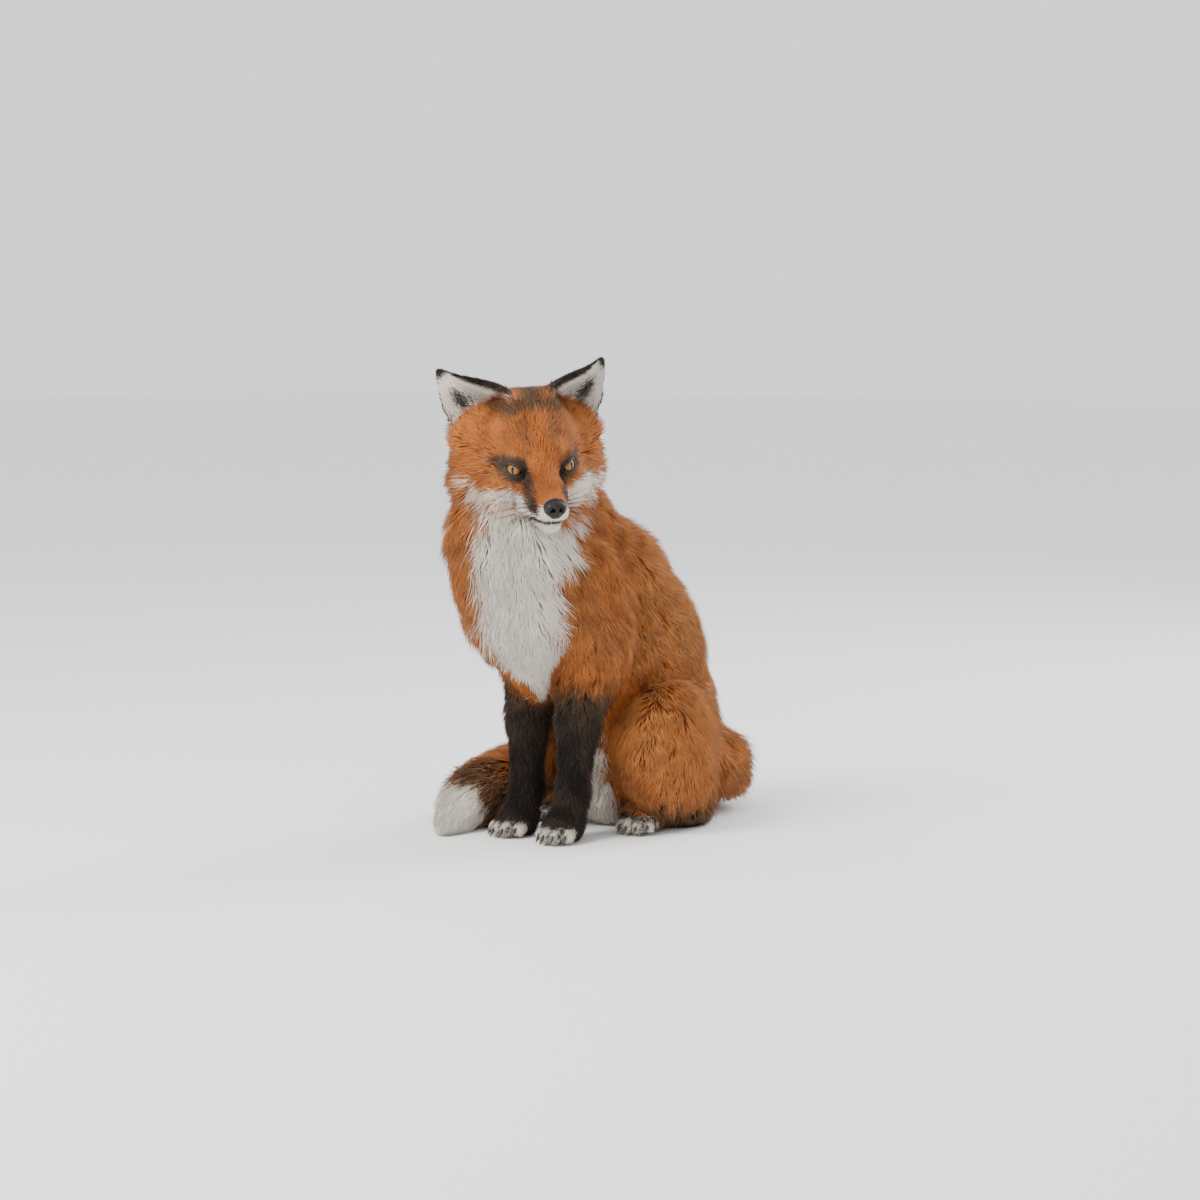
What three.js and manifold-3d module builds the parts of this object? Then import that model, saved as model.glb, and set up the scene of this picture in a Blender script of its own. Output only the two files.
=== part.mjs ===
// A red fox in its winter coat, life size, sitting with its head turned to its left and its tail
// wrapped round its right side. Millimetres, +Z up. The chest faces -Y and the animal's left is +X.
// Every solid is the outside of the coat, out to the tips of the fur.
import * as THREE from "three";
import Module from "manifold-3d";

const wasm = await Module();
wasm.setup();

// ---- Driving dimensions ------------------------------------------------------------------------

const SEAM = 0.35; // gap between two neighbouring pieces
const LOOSE_SEAM = 1.2; // gap where one round piece passes another
const CLAW_SEAM = 0.6;
const FUR_SEAM = 2; // gap where the tail or a hind foot comes out of the body's fur
const LATTICE = 0.03; // the finest detail that a solid keeps
const EYE_RADIUS = 9.2;
const EYE_APART = 25; // each eye's centre from the middle of the face
const EAR_LENGTH = 82;
const EAR_HALF_WIDTH = 30;
const STANCE = 31; // each forefoot's centre from the midline
const HEAD_PLACE = [8, -117, 386]; // middle of the skull
const HEAD_TURN_DEG = 56; // to the animal's left of its chest
const HEAD_DROP_DEG = 16; // nose below the horizontal
const HEAD_TILT_DEG = 4; // left side raised

// Edge of the cells that each kind of surface is meshed with.
const CELL = {
  trunk: 23.5,
  head: 16.4,
  face: 8.6,
  leg: 14,
  forePaw: 9,
  hindPaw: 8.6,
  tail: 21.5,
  tip: 14,
  nose: 4.4,
};

const v3 = (x, y, z) => new THREE.Vector3(x, y, z);
const SIDES = { left: 1, right: -1 };

// ---- Shape fields: negative inside, in millimetres from the surface ------------------------------

// A ball of radius ra at a, tapering to a ball of radius rb at b.
function taper(a, b, ra, rb) {
  const [ax, ay, az] = a;
  const bx = b[0] - ax;
  const by = b[1] - ay;
  const bz = b[2] - az;
  const length2 = bx * bx + by * by + bz * bz;
  const slope = ra - rb;
  const side2 = length2 - slope * slope;
  return (x, y, z) => {
    const px = x - ax;
    const py = y - ay;
    const pz = z - az;
    const along = px * bx + py * by + pz * bz;
    const past = along - length2;
    const off2 =
      (px * length2 - bx * along) ** 2 +
      (py * length2 - by * along) ** 2 +
      (pz * length2 - bz * along) ** 2;
    const k = Math.sign(slope) * slope * slope * off2;
    if (Math.sign(past) * side2 * past * past * length2 > k)
      return Math.sqrt(off2 + past * past * length2) / length2 - rb;
    if (Math.sign(along) * side2 * along * along * length2 < k)
      return Math.sqrt(off2 + along * along * length2) / length2 - ra;
    return (Math.sqrt((off2 * side2) / length2) + along * slope) / length2 - ra;
  };
}

// An ellipsoid, turned by Euler angles in degrees.
function egg(centre, radii, turnDeg = [0, 0, 0]) {
  const angles = turnDeg.map((d) => THREE.MathUtils.degToRad(d));
  const turn = new THREE.Matrix4().makeRotationFromEuler(new THREE.Euler(...angles)).transpose();
  const m = turn.elements;
  const [cx, cy, cz] = centre;
  const [rx, ry, rz] = radii;
  return (x, y, z) => {
    const px = x - cx;
    const py = y - cy;
    const pz = z - cz;
    const qx = (m[0] * px + m[4] * py + m[8] * pz) / rx;
    const qy = (m[1] * px + m[5] * py + m[9] * pz) / ry;
    const qz = (m[2] * px + m[6] * py + m[10] * pz) / rz;
    const k0 = Math.hypot(qx, qy, qz);
    const k1 = Math.hypot(qx / rx, qy / ry, qz / rz);
    return k1 > 0 ? (k0 * (k0 - 1)) / k1 : -Math.min(rx, ry, rz);
  };
}

// The union of fields, rounded over about k where they meet.
function blend(k, ...fields) {
  return (x, y, z) => {
    let d = fields[0](x, y, z);
    for (let i = 1; i < fields.length; i++) {
      const e = fields[i](x, y, z);
      const h = Math.max(k - Math.abs(d - e), 0) / k;
      d = Math.min(d, e) - (h * h * k) / 4;
    }
    return d;
  };
}

// A field less another one, rounded over about k at the hollow's rim.
function carve(k, field, hollow) {
  const outside = blend(
    k,
    (x, y, z) => -field(x, y, z),
    hollow,
  );
  return (x, y, z) => -outside(x, y, z);
}

const union = (...fields) => (x, y, z) => Math.min(...fields.map((f) => f(x, y, z)));
const bothSides = (field) => (x, y, z) => field(x, Math.abs(y), z);
const mirrored = (field) => (x, y, z) => field(-x, y, z);

// ---- Solids from fields --------------------------------------------------------------------------

function solidOf(positions, triangles) {
  return new wasm.Manifold(
    new wasm.Mesh({
      numProp: 3,
      vertProperties: new Float32Array(positions),
      triVerts: new Uint32Array(triangles),
    }),
  );
}

// The field's surface inside a box, as a solid: one vertex for each cell that the surface crosses,
// drawn onto the surface, and one four-sided face for each grid edge that it crosses.
function solidFrom(field, low, high, cell) {
  const count = low.map((l, i) => Math.ceil((high[i] - l) / cell) + 2);
  const [nx, ny, nz] = count;
  const at = (i, j, k) => (k * ny + j) * nx + i;
  const place = (...step) => low.map((l, n) => l + (step[n] - 0.5) * cell);
  const value = new Float32Array(nx * ny * nz);
  for (let k = 0; k < nz; k++)
    for (let j = 0; j < ny; j++)
      for (let i = 0; i < nx; i++) {
        const rim = i === 0 || j === 0 || k === 0 || i === nx - 1 || j === ny - 1 || k === nz - 1;
        const f = field(...place(i, j, k));
        value[at(i, j, k)] = rim ? Math.max(f, cell / 2) : f;
      }

  const CORNERS = [0, 1, 2, 3, 4, 5, 6, 7].map((c) => [c & 1, (c >> 1) & 1, (c >> 2) & 1]);
  const EDGES = [];
  for (let a = 0; a < 8; a++)
    for (const bit of [1, 2, 4]) if (!(a & bit)) EDGES.push([a, a | bit]);
  const vertexOf = new Int32Array(nx * ny * nz).fill(-1);
  const positions = [];
  for (let k = 0; k < nz - 1; k++)
    for (let j = 0; j < ny - 1; j++)
      for (let i = 0; i < nx - 1; i++) {
        const corner = CORNERS.map(([a, b, c]) => value[at(i + a, j + b, k + c)]);
        const middle = [0, 0, 0];
        let crossed = 0;
        for (const [a, b] of EDGES) {
          if (corner[a] < 0 === corner[b] < 0) continue;
          const share = corner[a] / (corner[a] - corner[b]);
          for (let n = 0; n < 3; n++)
            middle[n] += CORNERS[a][n] + share * (CORNERS[b][n] - CORNERS[a][n]);
          crossed++;
        }
        if (!crossed) continue;
        const start = place(i, j, k);
        vertexOf[at(i, j, k)] = positions.length / 3;
        positions.push(...onSurface(field, middle.map((m, n) => start[n] + (m / crossed) * cell), cell));
      }

  const triangles = [];
  const addFace = (a, b, c, d) => {
    const apart = (p, q) =>
      Math.hypot(...[0, 1, 2].map((n) => positions[p * 3 + n] - positions[q * 3 + n]));
    if (apart(a, c) < apart(b, d)) triangles.push(a, b, c, a, c, d);
    else triangles.push(a, b, d, b, c, d);
  };
  const step = [1, nx, nx * ny];
  for (let k = 0; k < nz - 1; k++)
    for (let j = 0; j < ny - 1; j++)
      for (let i = 0; i < nx - 1; i++)
        for (let axis = 0; axis < 3; axis++) {
          const here = at(i, j, k);
          const inside = value[here] < 0;
          if (inside === value[here + step[axis]] < 0) continue;
          const u = step[(axis + 1) % 3];
          const w = step[(axis + 2) % 3];
          const ring = [here, here - u, here - u - w, here - w].map((n) => vertexOf[n]);
          if (!inside) ring.reverse();
          addFace(...ring);
        }
  return largest(solidOf(positions, triangles));
}

// A point moved onto the field's surface, by at most half a cell.
function onSurface(field, point, cell) {
  const reach = 0.25;
  let [x, y, z] = point;
  for (let pass = 0; pass < 3; pass++) {
    const d = field(x, y, z);
    const gx = (field(x + reach, y, z) - field(x - reach, y, z)) / (2 * reach);
    const gy = (field(x, y + reach, z) - field(x, y - reach, z)) / (2 * reach);
    const gz = (field(x, y, z + reach) - field(x, y, z - reach)) / (2 * reach);
    const steepness = Math.max(gx * gx + gy * gy + gz * gz, 0.2);
    const move = THREE.MathUtils.clamp(d / steepness, -cell / 4, cell / 4);
    x -= gx * move;
    y -= gy * move;
    z -= gz * move;
  }
  return [x, y, z];
}

// The biggest of a solid's separate bodies.
function largest(solid) {
  return solid.decompose().reduce((a, b) => (b.volume() > a.volume() ? b : a));
}

// A flat cut through the body: a point on it and the way that its far side lies.
function plane(point, normal) {
  const n = v3(...normal).normalize();
  return { normal: n, offset: n.dot(v3(...point)) };
}

// The part of a solid on a cut's far side, or on its near side, less half the seam.
function far(solid, { normal, offset }) {
  return solid.trimByPlane(normal.toArray(), offset + SEAM / 2);
}

function near(solid, { normal, offset }) {
  return solid.trimByPlane(normal.clone().negate().toArray(), -offset + SEAM / 2);
}

const SPACE_SIZE = 1500;

// The part of a solid on the far side of every one of the cuts, and all the rest of it.
function corner(solid, ...cuts) {
  const wider = ({ normal, offset }) => ({ normal, offset: offset - SEAM });
  const space = solidFromGeometry(new THREE.BoxGeometry(SPACE_SIZE, SPACE_SIZE, SPACE_SIZE));
  const block = cuts.map(wider).reduce(far, space);
  return [largest(cuts.reduce(far, solid)), largest(solid.subtract(block))];
}

const onFloor = (solid) => solid.trimByPlane([0, 0, 1], 0);

// ---- Materials -----------------------------------------------------------------------------------

const finish = (color, roughness) => new THREE.MeshStandardMaterial({ color, roughness, metalness: 0 });
const FINISHES = {
  red: finish(0xb0602a, 0.95),
  dark: finish(0x241c18, 0.95),
  pale: finish(0xe8dfd0, 0.95),
  eye: finish(0xb8862e, 0.1),
  nose: finish(0x17130f, 0.45),
  claw: finish(0x2b2420, 0.4),
};

// The mesh with its vertices on a fine lattice, and those that share a place made one.
function merged(positions, corners) {
  const seen = new Map();
  const kept = [];
  const names = [];
  for (let i = 0; i < positions.length; i += 3) {
    const point = [0, 1, 2].map((n) => Math.round(positions[i + n] / LATTICE) * LATTICE);
    const key = point.join();
    if (!seen.has(key)) {
      seen.set(key, kept.length / 3);
      kept.push(...point);
    }
    names.push(seen.get(key));
  }
  const triangles = [];
  for (let i = 0; i < corners.length; i += 3) {
    const [a, b, c] = [names[corners[i]], names[corners[i + 1]], names[corners[i + 2]]];
    if (a !== b && b !== c && c !== a) triangles.push(a, b, c);
  }
  return solidOf(kept, triangles);
}

// A closed three.js geometry as a solid.
function solidFromGeometry(geometry) {
  const source = geometry.index ? geometry.toNonIndexed() : geometry;
  const positions = source.getAttribute("position").array;
  return merged(positions, [...Array(positions.length / 3).keys()]);
}

// A solid's vertex places, three numbers each.
function placesOf(made) {
  const positions = new Float32Array(made.numVert * 3);
  for (let i = 0; i < made.numVert; i++)
    positions.set(made.vertProperties.subarray(i * made.numProp, i * made.numProp + 3), i * 3);
  return positions;
}

// A named mesh of a solid.
function meshOf(name, solid, material) {
  const rough = solid.getMesh();
  const made = largest(merged(placesOf(rough), rough.triVerts)).getMesh();
  const geometry = new THREE.BufferGeometry();
  geometry.setAttribute("position", new THREE.BufferAttribute(placesOf(made), 3));
  geometry.setIndex(new THREE.BufferAttribute(made.triVerts, 1));
  const mesh = new THREE.Mesh(geometry, material);
  mesh.name = name;
  return mesh;
}

// ---- The head, in its own frame: +X to the nose, +Y to the animal's left, origin in the skull -----

const headFrame = new THREE.Group();
headFrame.position.set(...HEAD_PLACE);
headFrame.rotation.order = "ZYX";
headFrame.rotation.set(
  THREE.MathUtils.degToRad(HEAD_TILT_DEG),
  THREE.MathUtils.degToRad(HEAD_DROP_DEG),
  THREE.MathUtils.degToRad(HEAD_TURN_DEG - 90),
);
headFrame.updateMatrixWorld(true);

const NOSE_PLACE = [99, 0, -17];
const EYE_PLACE = [40, EYE_APART, 5];
const MUZZLE_ROOT_X = 47;

const skull = blend(
  16,
  egg([-10, 0, 12], [54, 48, 58]),
  egg([22, 0, 10], [34, 33, 27]),
  taper([30, 0, 4], [62, 0, -10], 24, 18),
);
const cheeks = bothSides(
  blend(
    14,
    egg([12, 32, -16], [34, 24, 26]),
    egg([-16, 48, -12], [34, 31, 46]),
    taper([-10, 48, -18], [-24, 63, -24], 22, 17),
    egg([-26, 45, 10], [24, 24, 30]),
  ),
);
const muzzle = blend(
  9,
  taper([42, 0, -12], [88, 0, -20], 22, 13.5),
  bothSides(taper([54, 11, -23], [88, 5.5, -27], 14, 9.5)),
  egg([93, 0, -17], [11, 11, 9]),
);
const jaw = blend(10, taper([18, 0, -37], [76, 0, -40], 19, 8.5), egg([78, 0, -41], [13, 10, 7]));
const brows = bothSides(egg([33, 20, 19], [13, 11, 7], [0, 0, -20]));
const headField = blend(12, blend(18, skull, cheeks), muzzle, jaw, brows);

// Hollow beside the bridge of the nose, in front of each eye.
const eyeHollow = bothSides(egg([48, 24, 2], [14, 9, 8], [0, 20, -28]));
const faceField = carve(9, headField, eyeHollow);

const MOUTH = plane([98, 0, -33], [-0.1, 0, 1]);
const MUZZLE_ROOT = plane([MUZZLE_ROOT_X, 0, 0], [1, 0, 0]);

function ball(radius, place) {
  return solidFromGeometry(new THREE.SphereGeometry(radius, 12, 8).translate(...place));
}

function eyePlace(side) {
  return [EYE_PLACE[0], EYE_PLACE[1] * SIDES[side], EYE_PLACE[2]];
}

// The bare nose pad: a rounded wedge, broad at the top.
function nosePad(grow = 0) {
  const field = blend(
    6,
    egg([NOSE_PLACE[0] - 1, 0, NOSE_PLACE[2] + 2], [9 + grow, 12 + grow, 6.5 + grow]),
    egg([NOSE_PLACE[0] + 1, 0, NOSE_PLACE[2] - 3], [7.5 + grow, 7.5 + grow, 8 + grow]),
  );
  return solidFrom(field, [78, -18, -36], [114, 18, 4], CELL.nose);
}

// ---- Ears: a cupped leaf, standing out from the head ----------------------------------------------

const EAR = {
  root: [-10, 37, 28],
  tip: [-34, 79, 78],
  opens: [0.72, 0.62, 0.3],
  thick: [8, 5.5],
  cupDeg: [82, 34],
  rows: 8,
  columns: 8,
};

// Half the ear's width, t of the way from root to tip: fuller on the edge towards the crown.
function earHalfWidth(t, across) {
  const fuller = across < 0 ? 1 + 0.45 * Math.sin(Math.PI * Math.min(t * 1.15, 1)) : 1;
  return EAR_HALF_WIDTH * (1 - t ** 1.9) ** 0.85 * (0.92 + 0.18 * Math.sin(Math.PI * t)) * fuller;
}

// A point of the ear: t along it, across from -1 to 1, and depth of 0 inside the cup or 1 on its back.
function earPoint(t, across, depth, frame) {
  const cup = THREE.MathUtils.degToRad(THREE.MathUtils.lerp(...EAR.cupDeg, t));
  const width = earHalfWidth(t, across);
  const radius = width / Math.sin(cup);
  const rim = 1 - 0.55 * across ** 4;
  const skin = THREE.MathUtils.lerp(...EAR.thick, t) * rim * depth;
  const angle = across * cup;
  const out = (radius + skin) * Math.cos(angle) - radius * Math.cos(cup);
  const side = (radius + skin) * Math.sin(angle);
  const bow = 7 * Math.sin(Math.PI * t);
  return frame.root
    .clone()
    .addScaledVector(frame.along, t * frame.length)
    .addScaledVector(frame.side, side)
    .addScaledVector(frame.opens, -out + bow);
}

function earSolid(side) {
  const s = SIDES[side];
  const flip = ([x, y, z]) => v3(x, y * s, z);
  const along = flip(EAR.tip).sub(flip(EAR.root)).normalize();
  const opens = flip(EAR.opens);
  opens.addScaledVector(along, -opens.dot(along)).normalize();
  const frame = {
    root: flip(EAR.root).addScaledVector(along, -14),
    along,
    opens,
    side: along.clone().cross(opens).multiplyScalar(s).normalize(),
    length: EAR_LENGTH + 14,
  };
  const positions = [];
  const { rows, columns } = EAR;
  for (const depth of [0, 1])
    for (let r = 0; r <= rows; r++)
      for (let c = 0; c <= columns; c++)
        positions.push(...earPoint((r / rows) * 0.985, (c / columns) * 2 - 1, depth, frame).toArray());
  const at = (depth, r, c) => (depth * (rows + 1) + r) * (columns + 1) + c;
  const triangles = [];
  const face = (a, b, c, d) => triangles.push(a, b, c, a, c, d);
  for (let r = 0; r < rows; r++)
    for (let c = 0; c < columns; c++) {
      face(at(0, r, c), at(0, r, c + 1), at(0, r + 1, c + 1), at(0, r + 1, c));
      face(at(1, r, c), at(1, r + 1, c), at(1, r + 1, c + 1), at(1, r, c + 1));
    }
  for (let r = 0; r < rows; r++) {
    face(at(0, r, 0), at(0, r + 1, 0), at(1, r + 1, 0), at(1, r, 0));
    face(at(0, r, columns), at(1, r, columns), at(1, r + 1, columns), at(0, r + 1, columns));
  }
  for (let c = 0; c < columns; c++) {
    face(at(0, 0, c), at(1, 0, c), at(1, 0, c + 1), at(0, 0, c + 1));
    face(at(0, rows, c), at(0, rows, c + 1), at(1, rows, c + 1), at(1, rows, c));
  }
  const made = solidOf(positions, triangles);
  if (made.volume() > 0) return made;
  for (let i = 0; i < triangles.length; i += 3)
    [triangles[i], triangles[i + 1]] = [triangles[i + 1], triangles[i]];
  return solidOf(positions, triangles);
}

// ---- Neck, trunk and haunches, in the fox's own frame ---------------------------------------------

const nape = headFrame.localToWorld(v3(-26, 0, -6)).toArray();
const throat = headFrame.localToWorld(v3(2, 0, -42)).toArray();
const WITHERS = [0, 14, 254];
const LOIN = [0, 48, 190];
const RUMP = [0, 80, 109];

const neckField = blend(
  34,
  taper(nape, [-2, -8, 262], 52, 58),
  taper(throat, [-17, -116, 310], 44, 71),
  egg([-5, -108, 254], [72, 74, 82]),
);
const backField = blend(
  30,
  taper(WITHERS, LOIN, 67, 71),
  taper(LOIN, RUMP, 72, 77),
  egg([0, 92, 60], [80, 72, 70]),
);
const bibField = taper([-3, -112, 228], [-4, -96, 166], 50, 26);
const bellyField = taper([0, -14, 165], [0, 16, 44], 54, 46);
const shoulder = blend(
  24,
  egg([46, -58, 229], [33, 44, 74], [12, 0, 0]),
  taper([42, -62, 208], [36, -66, 152], 34, 28),
);
const haunch = blend(
  22,
  egg([68, 28, 80], [44, 66, 74], [-8, 0, 8]),
  taper([72, 4, 90], [66, 60, 28], 42, 34),
);
const trunkField = blend(
  26,
  neckField,
  backField,
  bibField,
  bellyField,
  shoulder,
  mirrored(shoulder),
  haunch,
  mirrored(haunch),
);

// Cuts through the trunk; each one's far side is the way that its normal points.
const UP = [0, 0, 1];
const THROAT_CUT = plane([0, -117, 326], UP);
const NAPE_CUT = plane(headFrame.localToWorld(v3(-40, 0, 0)).toArray(), [0.42, -0.78, 0.46]);
const NECK_CUT = plane([0, -60, 284], [0, -0.5, 0.87]);
const WAIST_CUT = plane([0, 20, 200], [0, -0.55, 0.835]);
const ELBOW_Z = 138;
const BELLY_FRONT = -58;
const SHOULDER_INSIDE = 44;
const THIGH_INSIDE = 40;
const THIGH_TOP = 154;
const THIGH_FRONT = -42;
const HOCK_TOP = 52;

// ---- Legs and feet --------------------------------------------------------------------------------

// A foot on the floor, toes towards -Y: its pad, four toes in an arc, and the claws' places.
const TOES = [
  { out: -15, ahead: 13, rise: 12 },
  { out: -5.5, ahead: 22, rise: 12 },
  { out: 5.5, ahead: 22, rise: 12 },
  { out: 15, ahead: 13, rise: 12 },
];

function footField([x, y], headingDeg) {
  const turn = THREE.MathUtils.degToRad(headingDeg);
  const put = (out, ahead, z) => [
    x + out * Math.cos(turn) + ahead * Math.sin(turn),
    y + out * Math.sin(turn) - ahead * Math.cos(turn),
    z,
  ];
  const pad = egg(put(0, 0, 15), [21, 24, 20], [0, 0, headingDeg]);
  const toes = TOES.map(({ out, ahead, rise }) =>
    taper(put(out * 0.8, ahead - 12, rise + 4), put(out, ahead + 5, rise - 4), 9.5, 8.2),
  );
  return { field: blend(5, pad, ...toes), put };
}

const WRIST_Z = 36; // where a forepaw meets its foreleg
const PAW_BOX_TOP = 60;
const FORE_HEADING = { left: 12, right: 4 };
const FOREFOOT = { left: [STANCE, -94], right: [-STANCE, -94] };

function foreleg(side) {
  const s = SIDES[side];
  const [fx, fy] = FOREFOOT[side];
  const foot = footField([fx, fy], FORE_HEADING[side]);
  const leg = blend(
    14,
    taper([37 * s, -66, 184], [34 * s, -75, 114], 33, 21.5),
    taper([34 * s, -75, 114], [fx, fy + 14, 46], 21.5, 17.5),
    taper([fx, fy + 14, 46], [fx, fy + 4, 20], 17.5, 17),
  );
  return { leg, foot, whole: blend(12, leg, foot.field) };
}

const HIND_HEADING = { left: 18, right: -18 };
const HINDFOOT = { left: [58, -2], right: [-58, -2] };

function hindFoot(side) {
  const s = SIDES[side];
  const [fx, fy] = HINDFOOT[side];
  const foot = footField([fx, fy], HIND_HEADING[side]);
  const metatarsus = taper([fx, fy + 8, 17], [60 * s, 74, 20], 16, 18);
  return { foot, whole: blend(10, metatarsus, foot.field) };
}

const CLAW = { length: 13, radius: 2.3, dropDeg: 38 };

// One claw as a cone out of the toe's end, its root cut to the toe.
function clawSolid(foot, toe, headingDeg, furTop) {
  const cone = new THREE.ConeGeometry(CLAW.radius, CLAW.length, 8);
  cone.translate(0, CLAW.length / 2, 0);
  cone.rotateX(THREE.MathUtils.degToRad(180 + CLAW.dropDeg));
  cone.rotateZ(THREE.MathUtils.degToRad(headingDeg));
  cone.translate(...foot.put(toe.out, toe.ahead + 9, toe.rise - 3));
  return onFloor(largest(solidFromGeometry(cone).subtract(furTop)));
}

// ---- Tail -----------------------------------------------------------------------------------------

// Middle of the tail from its root to its tip, with the coat's radius there.
const TAIL_PATH = [
  { at: [-4, 130, 94], radius: 36 },
  { at: [36, 142, 56], radius: 45 },
  { at: [20, 168, 45], radius: 45 },
  { at: [-34, 190, 43], radius: 44 },
  { at: [-82, 170, 42], radius: 43 },
  { at: [-114, 120, 41], radius: 42 },
  { at: [-126, 62, 39], radius: 40 },
  { at: [-124, 6, 37], radius: 38 },
  { at: [-113, -38, 35], radius: 35 },
  { at: [-104, -74, 31], radius: 33 },
  { at: [-96, -108, 22], radius: 26 },
  { at: [-86, -136, 11], radius: 14 },
  { at: [-82, -151, 7], radius: 7 },
];
const TAIL_STEPS = 40;
const TAIL_CUTS = [0, 0.3, 0.55, 0.8, 1];
const tailCurve = new THREE.CatmullRomCurve3(TAIL_PATH.map(({ at }) => v3(...at)), false, "centripetal");

// The coat's radius, t of the way along the tail's points.
function tailRadius(t) {
  const place = t * (TAIL_PATH.length - 1);
  const i = Math.min(Math.floor(place), TAIL_PATH.length - 2);
  const [a, b] = [TAIL_PATH[i].radius, TAIL_PATH[i + 1].radius];
  return THREE.MathUtils.lerp(a, b, place - i);
}

// The tail from s to t of its length.
function tailTapers(s, t) {
  const tapers = [];
  const first = Math.max(Math.round(s * TAIL_STEPS), 0);
  const last = Math.min(Math.round(t * TAIL_STEPS), TAIL_STEPS);
  for (let i = first; i < last; i++) {
    const ends = [i, i + 1].map((n) => n / TAIL_STEPS);
    const [from, to] = ends.map((u) => tailCurve.getPoint(u).toArray());
    tapers.push(taper(from, to, ...ends.map(tailRadius)));
  }
  return union(...tapers);
}

const acrossTail = (t) => plane(tailCurve.getPoint(t).toArray(), tailCurve.getTangent(t).toArray());

// ---- Putting the fox together ----------------------------------------------------------------------

const fox = new THREE.Group();
fox.add(headFrame);

const toHead = headFrame.matrixWorld.clone().invert();

// A field read through a matrix.
function through(matrix, field) {
  const m = matrix.elements;
  return (x, y, z) =>
    field(
      m[0] * x + m[4] * y + m[8] * z + m[12],
      m[1] * x + m[5] * y + m[9] * z + m[13],
      m[2] * x + m[6] * y + m[10] * z + m[14],
    );
}

function cutInHeadFrame({ normal, offset }) {
  const point = normal.clone().multiplyScalar(offset).applyMatrix4(toHead);
  return plane(point.toArray(), normal.clone().transformDirection(toHead).toArray());
}

function addHead() {
  const whole = blend(22, faceField, through(headFrame.matrixWorld, neckField));
  const box = [[-75, -100, -95], [70, 100, 75]];
  const clear = (solid) => {
    let cut = solid.subtract(nosePad(SEAM));
    for (const side in SIDES) cut = cut.subtract(ball(EYE_RADIUS + SEAM, eyePlace(side)));
    return largest(cut);
  };
  const throatCut = cutInHeadFrame(THROAT_CUT);
  const coarse = far(far(solidFrom(whole, ...box, CELL.head), throatCut), cutInHeadFrame(NAPE_CUT));
  const fine = solidFrom(whole, [30, -48, -62], [116, 48, 40], CELL.face);
  const front = far(far(fine, throatCut), MUZZLE_ROOT);
  headFrame.add(
    meshOf("head", clear(near(coarse, MUZZLE_ROOT)), FINISHES.red),
    meshOf("muzzle", clear(far(front, MOUTH)), FINISHES.red),
    meshOf("jaw", clear(near(front, MOUTH)), FINISHES.pale),
    meshOf("nose", nosePad(), FINISHES.nose),
  );
  const bed = solidFrom(grown(whole, LOOSE_SEAM), ...box, CELL.head);
  for (const side in SIDES)
    headFrame.add(
      meshOf(`eye_${side}`, ball(EYE_RADIUS, eyePlace(side)), FINISHES.eye),
      meshOf(`ear_${side}`, largest(earSolid(side).subtract(bed)), FINISHES.dark),
    );
}

const sideways = (side, inside) => plane([inside * SIDES[side], 0, 0], [SIDES[side], 0, 0]);

function addTrunk() {
  const whole = blend(22, trunkField, through(toHead, headField));
  const body = onFloor(solidFrom(whole, [-135, -205, -20], [135, 190, 480], CELL.trunk));
  const [, headless] = corner(body, THROAT_CUT, NAPE_CUT);
  const elbow = plane([0, 0, ELBOW_Z], UP);
  let [chest, rear] = corner(near(headless, NECK_CUT), WAIST_CUT, elbow);
  [, rear] = corner(rear, plane([0, BELLY_FRONT, 0], [0, -1, 0]), plane([0, 0, ELBOW_Z], [0, 0, -1]));
  for (const side in SIDES) {
    let shoulderBlock, thigh;
    [shoulderBlock, chest] = corner(chest, sideways(side, SHOULDER_INSIDE));
    const top = plane([0, 0, THIGH_TOP], [0, 0, -1]);
    const front = plane([0, THIGH_FRONT, 0], [0, 1, 0]);
    const hock = plane([0, 0, HOCK_TOP], UP);
    [thigh, rear] = corner(rear, sideways(side, THIGH_INSIDE), top, front);
    fox.add(
      meshOf(`shoulder_${side}`, shoulderBlock, FINISHES.red),
      meshOf(`thigh_${side}`, largest(far(thigh, hock)), FINISHES.red),
      meshOf(`shank_${side}`, largest(near(thigh, hock)), FINISHES.red),
    );
    const leg = solidFrom(grown(foreleg(side).whole, LOOSE_SEAM), ...legBox(side), CELL.leg);
    rear = rear.subtract(leg.trimByPlane([0, 0, -1], -ELBOW_Z - SEAM));
  }
  fox.add(
    meshOf("neck", largest(far(headless, NECK_CUT)), FINISHES.red),
    meshOf("chest", chest, FINISHES.pale),
    meshOf("abdomen", largest(rear), FINISHES.red),
  );
}

const grown = (field, by) => (x, y, z) => field(x, y, z) - by;

function legBox(side) {
  const [x, y] = FOREFOOT[side];
  return [[x - 40, y - 50, -10], [x + 40, y + 80, 210]];
}

function addForelegs() {
  for (const side in SIDES) {
    const { foot, whole } = foreleg(side);
    const [low, high] = legBox(side);
    const elbow = plane([0, 0, ELBOW_Z], UP);
    const pawTop = plane([0, 0, WRIST_Z], UP);
    const upper = solidFrom(whole, low, high, CELL.leg);
    const pawFrom = (field) => onFloor(solidFrom(field, low, [high[0], high[1], PAW_BOX_TOP], CELL.forePaw));
    fox.add(
      meshOf(`foreleg_${side}`, largest(far(near(upper, elbow), pawTop)), FINISHES.dark),
      meshOf(`forepaw_${side}`, largest(near(pawFrom(whole), pawTop)), FINISHES.dark),
    );
    addClaws(`claw_fore_${side}`, foot, FORE_HEADING[side], pawFrom(grown(whole, CLAW_SEAM)));
  }
}

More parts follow.
